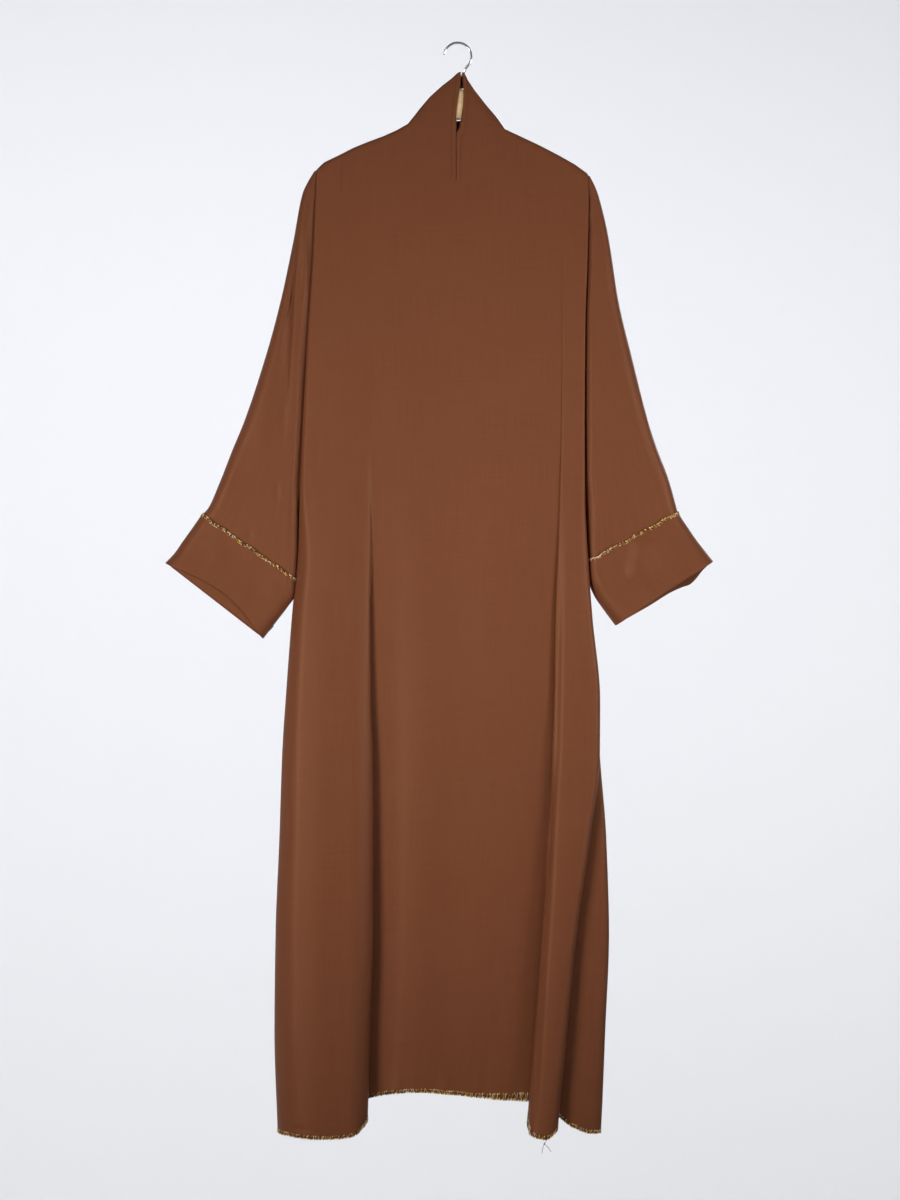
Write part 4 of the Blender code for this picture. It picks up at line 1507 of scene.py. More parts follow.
    def _neck_paths(self, grid: Array, slit: int, open_rows: Array) -> list[EdgePath]:
        """Leads the stitch lines beside both lips of the slit.

        Args:
            grid: The front's grid.
            slit: Its left lip's column.
            open_rows: Mask of the rows where the slit is open.

        Returns:
            Both lines.
        """
        normals = outward(grid, -1.0)
        paths = []
        for lip, step in ((slit, -1), (slit + 1, 1)):
            beside = slice(lip, lip + self.stitch_search)
            if step < 0:
                beside = slice(lip + 1 - self.stitch_search, lip + 1)
            places, faces = [], []
            for row in np.flatnonzero(open_rows):
                xs = grid[row, beside, 0]
                target = grid[row, lip, 0] + step * self.stitch_inset
                for found, values in ((places, grid), (faces, normals)):
                    found.append([np.interp(target, xs, values[row, beside, axis]) for axis in range(3)])
            paths.append(EdgePath(np.array(places), np.array(faces), np.array(faces)))
        return paths


# A hem's gold edge looks for the way into the cloth this many rows up
INTO_HEM = -3

# The waves above a hem, as (length, height), and how far they keep from the side seams and reach up
HEM_WAVES = ((64.0, 0.7), (37.0, 0.55), (23.0, 0.4))
SEAM_HOLD = 30.0
WAVE_REACH = 26.0


def hem_ripple(grid: Array, way: Array, seed: int) -> Array:
    """Slight waves that the overlock's pull leaves in the last centimetres above a hem.

    Args:
        grid: The sheet's grid.
        way: Each place's height above the hem.
        seed: Seed of the waves.

    Returns:
        Millimetres out of the cloth.
    """
    random = np.random.default_rng(seed)
    across = np.cumsum(np.linalg.norm(np.diff(grid[-1], axis=0, prepend=grid[-1][:1]), axis=1))
    wave = np.zeros_like(across)
    for length, size in HEM_WAVES:
        wave += size * np.sin(2 * math.pi * across / length + random.uniform(0, 2 * math.pi))
    wave *= np.clip(np.minimum(across, across[-1] - across) / SEAM_HOLD, 0, 1)
    return wave[None, :] * np.exp(-((np.abs(way) / WAVE_REACH) ** 1.4))


class BackFold(NamedTuple):
    """A soft fold of the back: share across, width as a share, height at the hem, drop where it starts."""

    share: float
    width: float
    height: float
    starts: float


@dataclass
class BackBody(BodyCloth):
    """The back of the body: a shallow round neck and soft uneven folds down to the hem.

    Attributes:
        crowding: How much the shoulders' columns crowd at the side edges.
        edge_inwards: How far inside the front's edge the back's lies, as a share of the depth.
        behind_seam: How far behind the front's edge it lies below the armhole.
        neck_start: How far inside the neck points the cloth leaves the bar.
        hem_level: Share of the half width in which the hem keeps its drop in the middle.
    """

    side_columns: int = 44
    neck_columns: int = 36
    crowding: float = 0.45
    edge_inwards: float = 0.06
    behind_seam: float = 0.9
    neck_depth: float = 27.0
    neck_start: float = 16.0
    hem_side: float = 1574.0
    hem_middle: float = 1522.0
    hem_level: float = 0.35
    hem_fall: float = 0.5
    folds: tuple[BackFold, ...] = (
        BackFold(0.17, 0.055, 9, 520),
        BackFold(0.36, 0.045, -11, 640),
        BackFold(0.55, 0.060, 8, 480),
        BackFold(0.72, 0.050, -10, 600),
        BackFold(0.88, 0.045, 8, 700),
    )

    def shares(self) -> Array:
        """Works out the columns' places, closer together at the back's edges.

        Returns:
            The places as shares of its width.
        """
        level = BODY_LEVELS[0]
        neck = [(x - level.left_edge) / (level.right_fold - level.left_edge) for x in (NECK_LEFT, NECK_RIGHT)]
        crowded = 1 - np.cos(np.linspace(0, np.pi / 2, self.side_columns))
        even = np.linspace(0, 1, self.side_columns) ** 1.15
        side = self.crowding * crowded + (1 - self.crowding) * even
        middle = np.linspace(*neck, self.neck_columns + 2)[1:-1]
        return np.concatenate([neck[0] * side, middle, 1 - (1 - neck[1]) * side[::-1]])

    def section(self, level: BodyLevel) -> Array:
        """The back's section at one height, from its left edge to its right.

        Args:
            level: The sizes at that height.

        Returns:
            One place (x, y) a row.
        """
        side = -level.side if level.side < 0 else level.side + self.behind_seam
        inwards = self.edge_inwards * (level.crown + level.side)
        left = level.left_edge + inwards
        right = level.outer_edge - inwards
        share = self.shares()
        x = left + share * (right - left)
        rounding = 0.8 * (level.back - side) + 4.0
        rounded = np.sqrt(1 - np.clip(1 - np.minimum(x - left, right - x) / rounding, 0, 1) ** 2)
        folds = np.zeros_like(x)
        for fold in self.folds:
            grown = np.clip((level.drop - fold.starts) / (BODY_LEVELS[-1].drop - fold.starts), 0, 1)
            folds += fold.height * grown * np.exp(-(((share - fold.share) / fold.width) ** 2))
        return np.column_stack([x, side + (level.back - side + folds) * rounded])

    def creases(self) -> tuple[Crease, ...]:
        """Lists the back's creases, placed in the way of the front's.

        Returns:
            The creases.
        """
        return (
            Crease(((-40, 165), (-96, 240), (-150, 330)), 1.2, 16, 20),
            Crease(((44, 168), (92, 250), (142, 340)), 1.1, 18, 16),
            Crease(((-58, 138), (-20, 176), (26, 178), (60, 142)), 1.2, 9, 12),
            Crease(((-30, 196), (2, 212), (38, 198)), -0.9, 12, 14),
            Crease(((4, 240), (-6, 420), (6, 640)), 1.6, 24, 30),
            Crease(((-118, 380), (-104, 620), (-112, 900)), -1.4, 20, 26),
            Crease(((112, 400), (98, 660), (104, 980)), 1.5, 22, 24),
            Crease(((-190, 560), (-160, 640), (-120, 690)), 1.0, 9, 9),
            Crease(((172, 590), (140, 660), (104, 700)), -1.0, 9, 9),
            Crease(((-70, 820), (-66, 1150), (-74, 1640)), 1.6, 20, 26),
            Crease(((20, 900), (26, 1200), (18, 1640)), -1.5, 24, 20),
            Crease(((-150, 1010), (-120, 1004), (-92, 1010)), 0.0, 3.0, 3.0, 0.4),
            Crease(((40, 1240), (78, 1232), (118, 1240)), 0.5, 2.6, 2.6),
        )

    def build(self) -> list[Piece]:
        """Makes the back's cloth and its hem.

        Returns:
            The new pieces.
        """
        sections = np.array([self.section(level) for level in BODY_LEVELS])
        off_middle = abs(2 * self.shares() - 1)
        falling = np.clip((off_middle - self.hem_level) / self.hem_fall, 0, 1) ** 1.5
        hem = self.hem_middle + (self.hem_side - self.hem_middle) * falling
        x = sections[0, :, 0]
        off_neck = (x - (NECK_LEFT + NECK_RIGHT) / 2) / ((NECK_RIGHT - NECK_LEFT) / 2)
        bow = self.neck_depth * np.maximum(1 - off_neck**2, 0)
        on_bar = (x <= NECK_LEFT) | (x >= NECK_RIGHT)
        top = np.where(on_bar, top_edge_drop(x), neck_chord_drop(x) + bow) + CAD_WALL / 2
        start = OVER_BAR * soft_step(np.minimum(x - NECK_LEFT, NECK_RIGHT - x) / self.neck_start)
        grid = self.hang(sections, top, hem, start, np.full_like(top, HEAD))
        way = grid[..., 2] - grid[-1:, :, 2]
        height = crease_height(grid[..., 0], -grid[..., 2], self.creases()) + hem_ripple(grid, way, 5)
        grid = grid + outward(grid, 1.0) * height[..., None]
        cloth = ClothSheet("back_body_cloth", grid[:, ::-1], self.finish).build()
        dress(cloth, "back_body")
        edge = self.sewing.edge("back_hem_gold_edge", EdgePath.from_grid(grid, -1, INTO_HEM, 1.0), seed=31)
        return [cloth, edge]


# Sleeves and cuffs


class SleeveRow(NamedTuple):
    """One section across a sleeve: see part of Sleeve."""

    outer_x: float
    outer_drop: float
    inner_x: float
    inner_drop: float
    depth: float
    inner_depth: float
    underlap: float
    closed: float


SLEEVE_ROWS = {
    Side.LEFT: (
        (-206.4, 184.5, -201.5, 188.2, 6.3, 6.3, 3, 0), (-214.6, 198.0, -202.8, 205.0, 7.4, 6.4, 6, 0),
        (-223.6, 217.0, -203.8, 226.0, 8.5, 5.6, 8, 0), (-236.4, 282.8, -207.0, 296.0, 12, 6.6, 8, 0),
        (-255.4, 372.7, -211.7, 394.0, 15, 7.8, 8, 0), (-279.2, 461.0, -217.5, 494.5, 18, 8, 8, 0),
        (-308.4, 548.0, -222.3, 591.6, 18, 8, 8, 0), (-325.2, 588.7, -225.0, 636.0, 17.5, 8, 5, 0),
        (-342.2, 632.2, -228.0, 680.0, 16.5, 8, 0, 1), (-361.0, 674.0, -230.6, 742.4, 14.5, 8, 0, 1),
        (-368.3, 682.0, -233.2, 776.0, 13.5, 8, 0, 1), (-381.0, 700.0, -235.8, 799.0, 13.5, 8, 0, 1),
        (-396.0, 721.0, -246.0, 815.0, 14, 8, 0, 1), (-409.0, 739.5, -262.5, 836.7, 15, 8, 0, 1),
        (-421.0, 752.0, -281.0, 860.5, 16, 8, 0, 1),
    ),
    Side.RIGHT: (
        (192.4, 192.0, 187.8, 194.6, 6.3, 6.3, 2.5, 0), (199.6, 206.0, 189.2, 212.0, 7.4, 6.4, 3, 0),
        (205.5, 222.0, 190.0, 232.0, 8.5, 5.6, 8, 0), (219.4, 281.3, 189.2, 303.0, 12, 6.6, 8, 0),
        (233.8, 372.7, 185.6, 400.0, 15, 7.8, 8, 0), (254.8, 461.0, 184.4, 494.5, 18, 8, 8, 0),
        (276.8, 548.0, 184.2, 588.7, 18, 8, 8, 0), (290.0, 588.0, 184.6, 634.0, 17.5, 8, 5, 0),
        (306.7, 632.2, 186.5, 678.6, 16.5, 8, 0, 1), (317.2, 670.0, 188.2, 726.5, 15, 8, 0, 1),
        (319.7, 679.0, 189.3, 750.0, 14, 8, 0, 1), (332.0, 699.0, 190.0, 772.0, 14, 8, 0, 1),
        (345.0, 718.0, 199.0, 798.0, 15, 8, 0, 1), (358.0, 735.0, 212.5, 818.5, 17, 8, 0, 1),
        (369.5, 749.5, 229.5, 841.5, 19, 8, 0, 1),
    ),
}
# How far the back of each cuff's mouth hangs below its front, at shares of the way in from its outer end
BACK_LOWER = {
    Side.LEFT: ((0.0, 0.0), (0.5, 1.5), (1.0, 0.0)),
    Side.RIGHT: (
        (0.0, 0.0), (0.1, 4.0), (0.2, 10.0), (0.26, 12.0), (0.34, 9.0), (0.46, 6.6), (0.62, 6.0),
        (0.82, 3.4), (1.0, 0.0),
    ),
}
# The right cuff is dented below its gold edge, and so is the sleeve inside it
RIGHT_DENT = Crease(((272, 708), (263, 742), (251, 788)), -6.0, 30, 13, rise=0.25, fade=0.35)
CUFF_FIRST_ROW = 10
CUFF_STAND_OFF = 2.7


class CuffRing(NamedTuple):
    """One ring of a cuff's band, from its gold edge to its end inside the sleeve.

    beyond is how far past the mouth it lies. along goes from 0 at the gold edge to 1 at the mouth, free
    from 1 to 0 where that edge stands loose, and creased is the share that the ring has of the creases.
    """

    row: SleeveRow
    stand_off: float
    beyond: float
    along: float
    free: float
    creased: float


class EdgeWave(NamedTuple):
    """A wave along a cuff's free edge: its height, its length, and where it starts on either side."""

    height: float
    length: float
    by_side: float
    start: float


def edge_height(way: Array, side: Side, waves: Sequence[EdgeWave]) -> Array:
    """Height of waves at distances along a cuff's free edge."""
    return sum(w.height * np.sin(way / w.length + w.by_side * side.value + w.start) for w in waves)


@dataclass
class Sleeve:
    """One sleeve: its front and back cloth and its turned-back cuff.

    Attributes:
        flank: How far from the shoulder fold the sleeve starts to fall towards it.
        under_fold: The share of fold_columns after which the cloth runs under the body's.
        shoulder_turns: The shoulder's rows, in degrees round the bar.
        wider_share: How much wider a section gets as it stands off.
        free_rings: How many of the cuff's rings the free edge's waves reach.
        fold_turns: The rings round the mouth's edge, in degrees.
        inside: How far out from the sleeve's own section the turned-in rings lie.
    """

    side: Side
    finish: Finish
    sewing: Sewing
    flank: float
    mouth_bow: float
    gape: float
    row_spacing: float = 5.0
    round_columns: int = 9
    middle_columns: int = 42
    fold_columns: int = 14
    under_fold: float = 0.7
    over_bar: float = OVER_BAR - UNDER_CLOTH
    shoulder_turns: Row = (4.0, 18.0, 35.0, 52.0, 70.0)
    seam_reach: float = 4.0
    wider_share: float = 0.3
    cuff_spacing: float = 3.4
    free_rings: float = 5.0
    fold_turns: Row = (30, 60, 90, 120, 150, 180)
    turned_in: Row = (4.0, 9.0, 15.0, 22.0)
    inside: float = -0.9
    inside_creases: float = 0.6
    edge_breadth: float = 0.72
    waver: tuple[EdgeWave, ...] = (
        EdgeWave(0.7, 7.1, 1.7, 0.0), EdgeWave(0.5, 3.9, -1.7, 0.0), EdgeWave(0.35, 2.3, 0.0, 0.0),
    )
    flare: float = 0.45
    flare_waves: tuple[EdgeWave, ...] = (EdgeWave(0.4, 9.5, 1.3, 0.0), EdgeWave(0.24, 5.2, 0.0, 2.0))

    def rows(self, start: float, end: float, spacing: float) -> list[SleeveRow]:
        """Smooth sections between two rows of the table.

        Args:
            start: Index of the first, in the table.
            end: Index of the last.
            spacing: Distance between sections.

        Returns:
            The sections from the shoulder down.
        """
        table = np.array(SLEEVE_ROWS[self.side], float)
        middle = (table[:, 0:2] + table[:, 2:4]) / 2
        way = np.concatenate([[0.0], np.cumsum(np.linalg.norm(np.diff(middle, axis=0), axis=1))])
        first, last = np.interp((start, end), np.arange(len(table)), way)
        places = np.linspace(first, last, max(2, round((last - first) / spacing)))
        return [SleeveRow(*values) for values in smooth_between(way, table, places)]

    def section(self, row: SleeveRow, stand_off: float = 0.0) -> Array:
        """Lays out one section, from the outer edge to the inner.

        Args:
            row: The section's sizes.
            stand_off: How far outside the sleeve the cloth lies.

        Returns:
            One place (x, drop, depth) a row.
        """
        outer = np.array((row.outer_x, row.outer_drop))
        across = np.array((row.inner_x, row.inner_drop)) - outer
        width = np.linalg.norm(across)
        across = across / width
        wider = self.wider_share * stand_off
        width += 2 * wider
        depth = row.depth + stand_off
        rounding = min(0.45 * width, depth)
        flank = min(0.4 * width, self.flank)
        turn = np.linspace(0, math.pi / 2, self.round_columns)
        rounded = np.column_stack([rounding * (1 - np.cos(turn)), depth * np.sin(turn)])
        middle = np.linspace(rounding, width - rounding, self.middle_columns + 2)[1:-1]
        flat = np.column_stack([middle, np.full_like(middle, depth)])
        done = np.linspace(0, 1, self.fold_columns)
        turn = (1 - done) * math.pi / 2
        closed = np.column_stack([width - rounding * (1 - np.cos(turn)), depth * np.sin(turn)])

        # Where the inner edge lies open to the body, it falls to inner_depth and runs on under the body
        under = row.underlap * np.clip((done - self.under_fold) / (1 - self.under_fold), 0, 1)
        along = width - (1 - np.minimum(done / self.under_fold, 1)) * flank + under
        blend = soft_step(done / 0.3)
        held = (width - rounding) * (1 - blend)
        along = held + np.maximum(along, held + along * blend) * blend
        fall = soft_step(np.clip((along - (width - flank)) / flank, 0, 1))
        opened = np.column_stack([along, depth - (depth - row.inner_depth) * fall])
        inner = row.closed * closed + (1 - row.closed) * opened
        places = np.concatenate([rounded, flat, inner])
        return np.column_stack([outer + (places[:, :1] - wider) * across, places[:, 1]])

    def half_grid(self, face: Face) -> Array:
        """Lays out the sleeve's front or back cloth before its creases.

        Args:
            face: Which half.

        Returns:
            The grid (row, column, xyz).
        """
        grid = []
        for row in self.rows(0, len(SLEEVE_ROWS[self.side]) - 1, self.row_spacing):
            places = self.section(row)
            depth = np.maximum(places[:, 2], SEAM_HALF)
            grid.append(np.column_stack([places[:, 0], face.value * depth, -places[:, 1]]))
        shoulder = []
        for turn in np.radians(self.shoulder_turns):
            lifted = grid[0].copy()
            lifted[:, 1] = face.value * np.maximum(abs(lifted[:, 1]) * math.sin(turn), SEAM_HALF)
            inwards = np.linspace(0, 1, len(lifted)) ** 1.5
            lifted[:, 2] += self.over_bar * math.cos(turn) * inwards
            shoulder.append(lifted)
        return np.array(shoulder + grid)

    def creases(self, face: Face) -> tuple[Crease, ...]:
        """The creases of one half: the front's are read off the photograph, the back's are like them.

        Args:
            face: Which half.

        Returns:
            Its creases.
        """
        if (self.side, face) == (Side.LEFT, Face.FRONT):
            return (
                # The pressed ridge, and the furrow beside it
                Crease(
                    ((-231, 270), (-238, 348), (-241.5, 412), (-245, 480), (-252, 600)),
                    6.0, 3.6, 9.0, rise=0.2, fade=0.6,
                ),
                Crease(((-222, 228), (-221, 283), (-218.5, 330), (-218, 400)), -1.9, 4.5, 5.0),
                Crease(((-208, 208), (-206, 232)), -1.2, 2.4, 2.4),
                Crease(((-264, 420), (-276, 520), (-290, 640)), -1.2, 12, 14),
                Crease(((-259, 630), (-260, 668)), 0.8, 4, 4),
                Crease(((-298, 706), (-301, 726)), 0.9, 3.4, 3.4),
                Crease(((-262, 752), (-254, 760)), -0.8, 3.0, 3.0),
                Crease(((-320, 600), (-338, 660)), -0.9, 9, 6),
            )
        if (self.side, face) == (Side.RIGHT, Face.FRONT):
            return (
                Crease(((200, 212), (194.5, 242), (191.5, 268)), -1.0, 3.0, 2.6, 0.8),
                Crease(((207, 458), (232, 444)), 0.35, 3.0, 3.0),
                Crease(((204, 488), (247, 451)), 0.0, 3.4, 3.4, 0.55),
                Crease(((244, 476), (218, 500), (207, 509)), 0.0, 3.4, 3.4, -0.45),
                Crease(((213, 504), (223, 500), (233, 507), (245, 523), (265, 551)), 0.0, 3.2, 3.2, 0.5),
                Crease(
                    ((255, 468), (267, 524), (281, 578), (295, 618), (311, 660), (315, 676)),
                    -1.3, 2.6, 3.4, 0.5,
                ),
                Crease(((233, 661), (257, 629)), 0.45, 3.0, 3.0),
                Crease(((210, 584), (230, 581)), 0.3, 3.0, 3.0),
                Crease(((212, 300), (216, 400), (224, 520)), 0.9, 12, 14),
                RIGHT_DENT,
            )
        sign = self.side.value
        return (
            Crease(((sign * 226, 290), (sign * 236, 380), (sign * 246, 470)), 1.7, 7, 9),
            Crease(((sign * 214, 420), (sign * 240, 500), (sign * 262, 590)), -1.2, 10, 12),
            Crease(((sign * 222, 560), (sign * 254, 540)), 0.6, 3.4, 3.4, 0.3),
            Crease(((sign * 230, 640), (sign * 262, 610), (sign * 290, 600)), 0.7, 4, 4),
            Crease(((sign * 286, 660), (sign * 280, 700)), 0.9, 5, 5),
        )

    def cuff_creases(self, face: Face) -> tuple[Crease, ...]:
        """The creases of the cuff's front or back.

        Args:
            face: Which of them.

        Returns:
            Its creases.
        """
        if (self.side, face) == (Side.RIGHT, Face.FRONT):
            return (
                RIGHT_DENT,
                Crease(((240, 779), (256, 779.5), (264, 773), (278, 772)), 1.0, 2.6, 2.6, 0.6),
                Crease(((300, 700), (318, 742), (326, 768)), 1.2, 16, 16),
                Crease(((206, 762), (214, 800)), 1.0, 8, 8),
            )
        if (self.side, face) == (Side.LEFT, Face.FRONT):
            return (
                Crease(((-352, 706), (-340, 760)), 0.9, 12, 16),
                Crease(((-286, 760), (-300, 810)), -0.9, 12, 12),
                Crease(((-262, 775), (-268, 812)), 0.6, 6, 6),
            )
        sign = self.side.value
        return (
            Crease(((sign * 330, 712), (sign * 318, 770)), 1.2, 12, 14),
            Crease(((sign * 262, 770), (sign * 272, 806)), -1.1, 8, 10),
            Crease(((sign * 290, 742), (sign * 306, 750)), 0.5, 3, 3),
        )

    def build(self) -> list[Piece]:
        """Makes both halves, the cuff and its gold edge.

        Returns:
            The new pieces.
        """
        pieces = []
        for face in Face:
            grid = self.half_grid(face)
            turned = face.value * self.side.value
            height = crease_height(grid[..., 0], -grid[..., 2], self.creases(face))
            height *= np.minimum(np.abs(grid[..., 1]) / self.seam_reach, 1.0)
            grid = grid + outward(grid, turned) * height[..., None]
            name = f"{face.word}_sleeve_{self.side.word}"
            faces_out = grid if turned > 0 else grid[:, ::-1]
            cloth = ClothSheet(f"{name}_cloth", faces_out, self.finish).build()
            dress(cloth, name)
            pieces.append(cloth)
        return pieces + self._build_cuff()

    def _cuff_rings(self) -> list[CuffRing]:
        """Lists the cuff's rings: down its outside, round the mouth's edge and up inside.

        Returns:
            The rings in that order.
        """
        rows = self.rows(CUFF_FIRST_ROW, len(SLEEVE_ROWS[self.side]) - 1, self.cuff_spacing)
        rings = []
        for number, row in enumerate(rows):
            free = max(0.0, 1 - number / self.free_rings)
            rings.append(CuffRing(row, CUFF_STAND_OFF, 0.0, number / (len(rows) - 1), free, 1.0))
        fold = CUFF_STAND_OFF / 2
        for turn in np.radians(self.fold_turns):
            out, beyond = fold + fold * math.cos(turn), fold * math.sin(turn)
            rings.append(CuffRing(rows[-1], out, beyond, 1.0, 0.0, 1.0))
        for back in self.turned_in:
            rings.append(CuffRing(rows[-1], self.inside, -back, 1.0, 0.0, self.inside_creases))
        return rings

    def _ring_places(self, ring: CuffRing, down: Array) -> Array:
        """Lays out one ring, along its front and then back along its back.

        Args:
            ring: The ring.
            down: The way down along the sleeve.

        Returns:
            One place a row.
        """
        places = self.section(ring.row, ring.stand_off)
        depth = places[:, 2]
        way = np.linalg.norm(places[:, :2] - places[0, :2], axis=1)
        across = way / way.max()
        bow = self.mouth_bow * ring.along**2 * np.sin(math.pi * across**1.1)
        shift = ring.free * edge_height(way, self.side, self.waver) + ring.beyond - bow
        stands_out = ring.free * (self.flare + edge_height(way, self.side, self.flare_waves))
        flat = np.column_stack([places[:, 0], np.zeros(len(places)), -places[:, 1]])
        flat += shift[:, None] * down
        halves = []
        for face in Face:
            half = flat.copy()
            raised = ring.creased * crease_height(flat[:, 0], -flat[:, 2], self.cuff_creases(face))
            out = depth + raised * depth / depth.max() + stands_out
            if face is Face.BACK:
                out += self.gape * ring.along**2 * np.sin(math.pi * across)
                hang = smooth_between(*np.array(BACK_LOWER[self.side]).T, across)
                half += (ring.along**2 * hang)[:, None] * down
            half[:, 1] = face.value * out
            halves.append(half)
        return np.concatenate([halves[0], halves[1][-2:0:-1]])

    def _build_cuff(self) -> list[Piece]:
        """Makes the cuff: a doubled band that turns round the mouth's edge, with its gold upper edge.

        Returns:
            The new pieces.
        """
        above, mouth = (SleeveRow(*row) for row in SLEEVE_ROWS[self.side][-2:])
        down = np.array((mouth.outer_x - above.outer_x, 0.0, above.outer_drop - mouth.outer_drop))
        down /= np.linalg.norm(down)
        grid = np.array([self._ring_places(ring, down) for ring in self._cuff_rings()])
        if self.side is Side.RIGHT:
            grid = grid[:, ::-1]
        name = f"cuff_{self.side.word}"
        cloth = ClothSheet(f"{name}_cloth", grid, self.finish, ring=True).build()
        dress(cloth, name)
        closed = np.concatenate([grid[:, -1:], grid, grid[:, :1]], axis=1)
        path = EdgePath.from_grid(closed, 0, 2, 1.0)
        sign = -1 if (path.face[:, 1] * path.places[:, 1]).sum() < 0 else 1
        breadth = np.full(grid.shape[1], self.edge_breadth)
        path = EdgePath(path.places[1:-1], path.inward[1:-1], sign * path.face[1:-1], breadth)
        edge = self.sewing.edge(f"{name}_gold_edge", path, seed=51 + self.side.value, closed=True)
        return [cloth, edge]


# The hanger


@dataclass
class Hanger:
    """The wooden hanger with its wire hook.

    Attributes:
        taper: How fast the bar's height falls from the stem to its ends.
        side_power: How round the bar's front and back are.
        tip_shares: The tip's rings, as shares of the wire's radius.
        stem_behind: How far behind the hook the stem lies.
        stem_bend_drop: Drop at which it starts to go back there.
        stem_bends: Its points (x, z) up to the hook.
    """

    wood: Finish
    chrome: Finish
    bar_places: int = 150
    bar_sides: int = 40
    middle_height: float = 45.0
    end_height: float = 17.0
    taper: float = 1.2
    edge_radius: float = 4.6
    side_power: float = 0.72
    end_share: float = 0.55
    wire_radius: float = 1.7
    wire_places: int = 160
    wire_sides: int = 20
    hook_centre_x: float = 1.0
    hook_radius: float = 20.0
    hook_start: float = 168.0
    hook_end: float = -48.0
    hook_step: float = 12.0
    tip_shares: Row = (0.35, 0.7, 0.92, 1.0)
    stem_in_bar: float = 22.0
    stem_behind: float = 3.8
    stem_bend_drop: float = 33.0
    stem_bend_length: float = 13.0
    stem_bends: Pairs = ((3.0, -75.0), (3.0, -62.0), (4.5, -53.0), (8.0, -44.0))

    def build(self) -> list[Piece]:
        """Makes the bar and the hook."""
        return [self._build_bar(), self._build_hook()]

    def _build_bar(self) -> Piece:
        """Makes the bar: a superelliptic section along its outline, with rounded ends.

        Returns:
            The new piece.
        """
        half = BAR_THICKNESS / 2
        points = []
        for x in np.linspace(BAR_LEFT_END, BAR_RIGHT_END, self.bar_places):
            reach = max(0.0, 1 - abs(x - STEM_X) / (BAR_RIGHT_END - STEM_X))
            height = self.end_height + (self.middle_height - self.end_height) * reach**self.taper
            middle = -bar_top_drop(float(x)) - height / 2
            to_end = min(x - BAR_LEFT_END, BAR_RIGHT_END - x)
            full = math.sqrt(1 - max(0.0, 1 - to_end / self.edge_radius) ** 2)
            tall = height / 2 * (self.end_share + (1 - self.end_share) * full)
            power = 2 / (2 + 6 * (1 - half / height))
            for turn in np.linspace(0, 2 * math.pi, self.bar_sides, endpoint=False):
                c, s = math.cos(turn), math.sin(turn)
                y = half * full * np.sign(c) * abs(c) ** self.side_power
                points.append((x, y, middle + tall * np.sign(s) * abs(s) ** power))
        bar = loft("hanger_bar_wood", np.array(points), self.bar_sides, self.wood)
        return dress(bar, "hanger_bar")

    def _build_hook(self) -> Piece:
        """Makes the hook: one round wire with a rounded tip, whose stem lies behind it in the bar.

        Returns:
            The new piece.
        """
        centre = np.array((self.hook_centre_x, self.wire_radius - self.hook_radius))
        guides = [(STEM_X, -(BAR_HUMP_TOP + self.stem_in_bar)), *self.stem_bends]
        for turn in np.radians(np.arange(self.hook_end, self.hook_start + 1, self.hook_step)):
            guides.append(tuple(centre + self.hook_radius * np.array((math.cos(turn), math.sin(turn)))))
        flat = curve_at(np.array(guides), np.linspace(0, len(guides) - 1, self.wire_places))
        shares = np.array(self.tip_shares)
        run = (flat[-1] - flat[-2]) / np.linalg.norm(flat[-1] - flat[-2])
        route = np.concatenate([flat, flat[-1] + run * (shares * self.wire_radius)[:, None]])
        radii = np.full(len(route), self.wire_radius)
        radii[-len(shares) :] *= np.sqrt(np.maximum(1 - shares**2, 0.02))
        behind = self.stem_behind * soft_step((-route[:, 1] - self.stem_bend_drop) / self.stem_bend_length)
        places = np.column_stack([route[:, 0], behind, route[:, 1]])
        hook = tube("hanger_hook_wire", places, radii, self.wire_sides, self.chrome)
        return dress(hook, "hanger_hook")


# Studio


class Softbox(NamedTuple):
    """A soft light: its place and target in millimetres, its side, its power and its beam in degrees."""

    name: str
    place: Place
    target: Place
    size: float
    watts: float
    spread: float
    colour: str


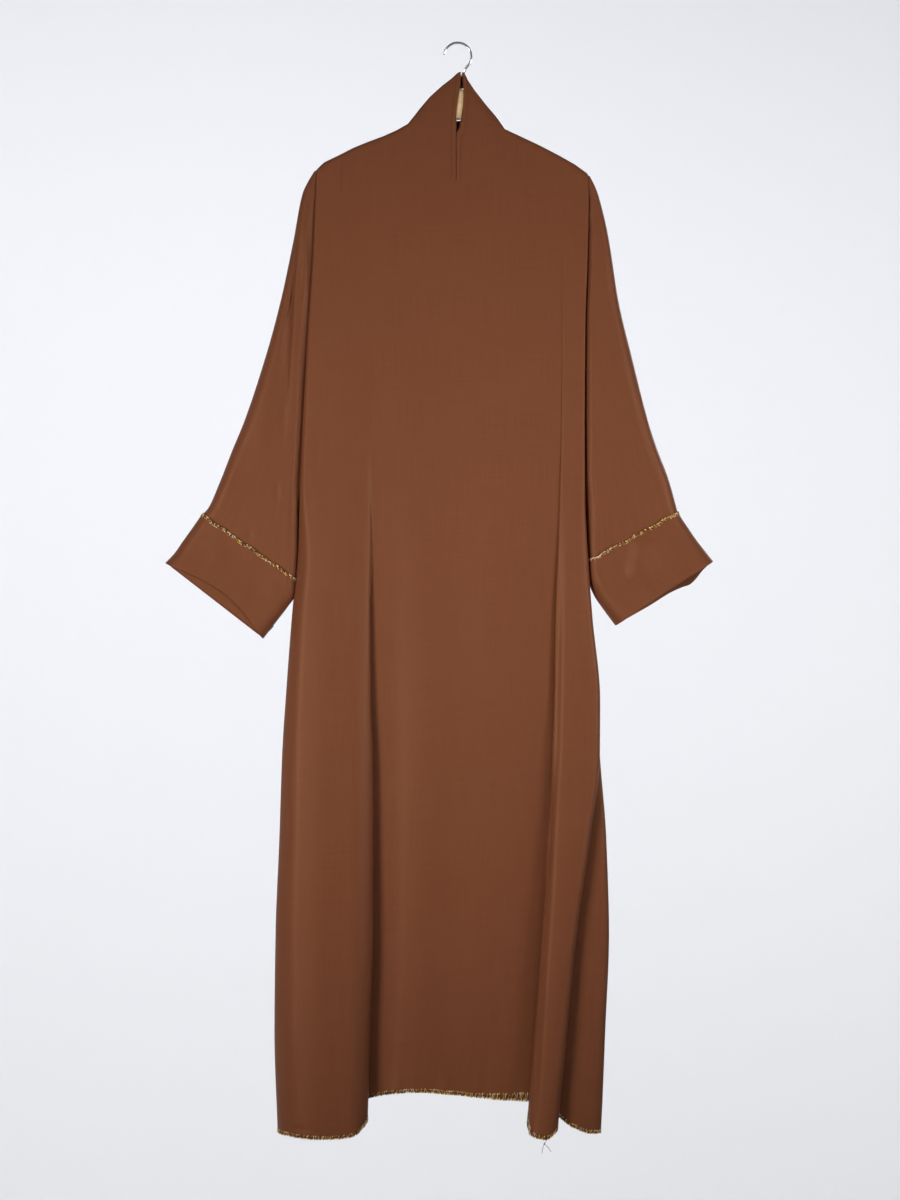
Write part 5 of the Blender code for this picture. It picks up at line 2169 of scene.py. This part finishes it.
@dataclass
class Studio:
    """Pale floor that curves up into a round cove, soft lights and the camera: lengths in millimetres."""

    paint: Finish
    floor_drop: float = 5200.0
    cove_radius: float = 6500.0
    cove_height: float = 9000.0
    bend_radius: float = 1500.0
    cove_sides: int = 96
    floor_rings: int = 8
    bend_rings: int = 14
    camera_x: float = -10.15
    camera_distance: float = 3200.0
    camera_drop: float = 806.2
    frame_height: float = 1740.0
    sensor_height: float = 24.0
    clip_end: float = 60.0
    world_colour: str = "#F4F6FA"
    world_strength: float = 0.07
    lamps: tuple[Softbox, ...] = (
        Softbox("key_softbox", (-2050, -2850, -760), (45, 0, -880), 1200, 7.75, 46.0, "#FFFBF6"),
        Softbox("top_softbox", (-1700, -2500, 1500), (0, 0, -760), 1500, 1.6, 90.0, "#FFFBF6"),
        Softbox("fill_softbox", (2600, -2000, -500), (300, 0, -580), 1200, 4.3, 34.0, "#F6F8FF"),
        Softbox("upper_wall_softbox", (-300, 600, 1500), (-700, 6000, -200), 2800, 222.0, 160.0, "#F8FAFF"),
        Softbox("lower_wall_softbox", (-300, 600, -3300), (-700, 6000, -1500), 2800, 88.0, 160.0, "#FBFAFA"),
        Softbox("back_softbox", (1900, 3300, 900), (0, 0, -760), 2000, 14.0, 120.0, "#FFFFFF"),
    )

    def build(self) -> list[Piece]:
        """Makes the cove, the lights, the world and the camera.

        Returns:
            The cove.
        """
        for lamp in self.lamps:
            self._add_lamp(lamp)
        world = bpy.data.worlds.new("Pale studio air")
        world.use_nodes = True
        colours = {"Color": linear(self.world_colour), "Strength": self.world_strength}
        set_inputs(world.node_tree, world.node_tree.nodes["Background"], colours)
        scene = bpy.context.scene
        scene.world = world
        scene.camera = self._add_camera()
        scene.view_settings.view_transform = "Standard"
        return [self._build_cove()]

    def _build_cove(self) -> Piece:
        """Makes the floor and the cove round it as one surface of revolution.

        Returns:
            The cove.
        """
        inner = self.cove_radius - self.bend_radius
        profile = [(radius, 0.0) for radius in np.linspace(0, inner, self.floor_rings)[1:]]
        for turn in np.linspace(0, math.pi / 2, self.bend_rings)[1:]:
            out, up = math.sin(turn), 1 - math.cos(turn)
            profile.append((inner + self.bend_radius * out, self.bend_radius * up))
        profile.append((self.cove_radius, self.cove_height))
        points = [(0.0, 0.0, -self.floor_drop)]
        for radius, height in profile:
            for turn in np.linspace(0, 2 * math.pi, self.cove_sides, endpoint=False):
                points.append((radius * math.cos(turn), radius * math.sin(turn), height - self.floor_drop))
        middle = [(0, 1 + i, 1 + (i + 1) % self.cove_sides) for i in range(self.cove_sides)]
        rings = [face[::-1] for face in ring_faces(len(profile), self.cove_sides, 1)]
        cove = mesh_object("studio_cove", np.array(points), middle + rings, self.paint)
        return cove

    @staticmethod
    def _add_lamp(lamp: Softbox) -> None:
        """Adds a square soft light that faces its target and that no camera sees.

        Args:
            lamp: The light's sizes.
        """
        light = bpy.data.lights.new(lamp.name, "AREA")
        light.shape = "SQUARE"
        light.size = lamp.size * MM
        light.energy = lamp.watts
        light.spread = math.radians(lamp.spread)
        light.color = linear(lamp.colour)[:3]
        stand = link_object(lamp.name, light)
        stand.location = Vector(lamp.place) * MM
        ahead = Vector(lamp.target) * MM - stand.location
        stand.rotation_euler = ahead.to_track_quat("-Z", "Y").to_euler()
        stand.visible_camera = False

    def _add_camera(self) -> Piece:
        """Adds the camera, level and square to the garment.

        Returns:
            The camera.
        """
        lens = bpy.data.cameras.new("camera")
        lens.sensor_fit = "VERTICAL"
        lens.sensor_height = self.sensor_height
        lens.lens = self.sensor_height * self.camera_distance / self.frame_height
        lens.clip_end = self.clip_end
        camera = link_object("camera", lens)
        camera.location = Vector((self.camera_x, -self.camera_distance, -self.camera_drop)) * MM
        camera.rotation_euler = (math.pi / 2, 0.0, 0.0)
        return camera


def main() -> None:
    """Builds the hanger, the garment and the studio in order and reports each piece."""
    logging.basicConfig(level=logging.INFO, format="%(name)s: %(message)s")
    crepe = CrepeCloth().make()
    sewing = Sewing(LurexYarn().make(), SpunThread("Brown spun sewing thread", "#4A2817").make())
    assemblies = (
        Hanger(VarnishedWood().make(), ChromedSteel().make()),
        FrontBody(crepe, sewing),
        BackBody(crepe, sewing),
        Sleeve(Side.LEFT, crepe, sewing, flank=16.0, mouth_bow=18.0, gape=0.0),
        Sleeve(Side.RIGHT, crepe, sewing, flank=9.0, mouth_bow=1.5, gape=9.0),
        Studio(MattPaint().make()),
    )
    for assembly in assemblies:
        for piece in assembly.build():
            LOG.info("%s: %d faces", piece.name, len(piece.data.polygons))


if __name__ == "__main__":
    main()
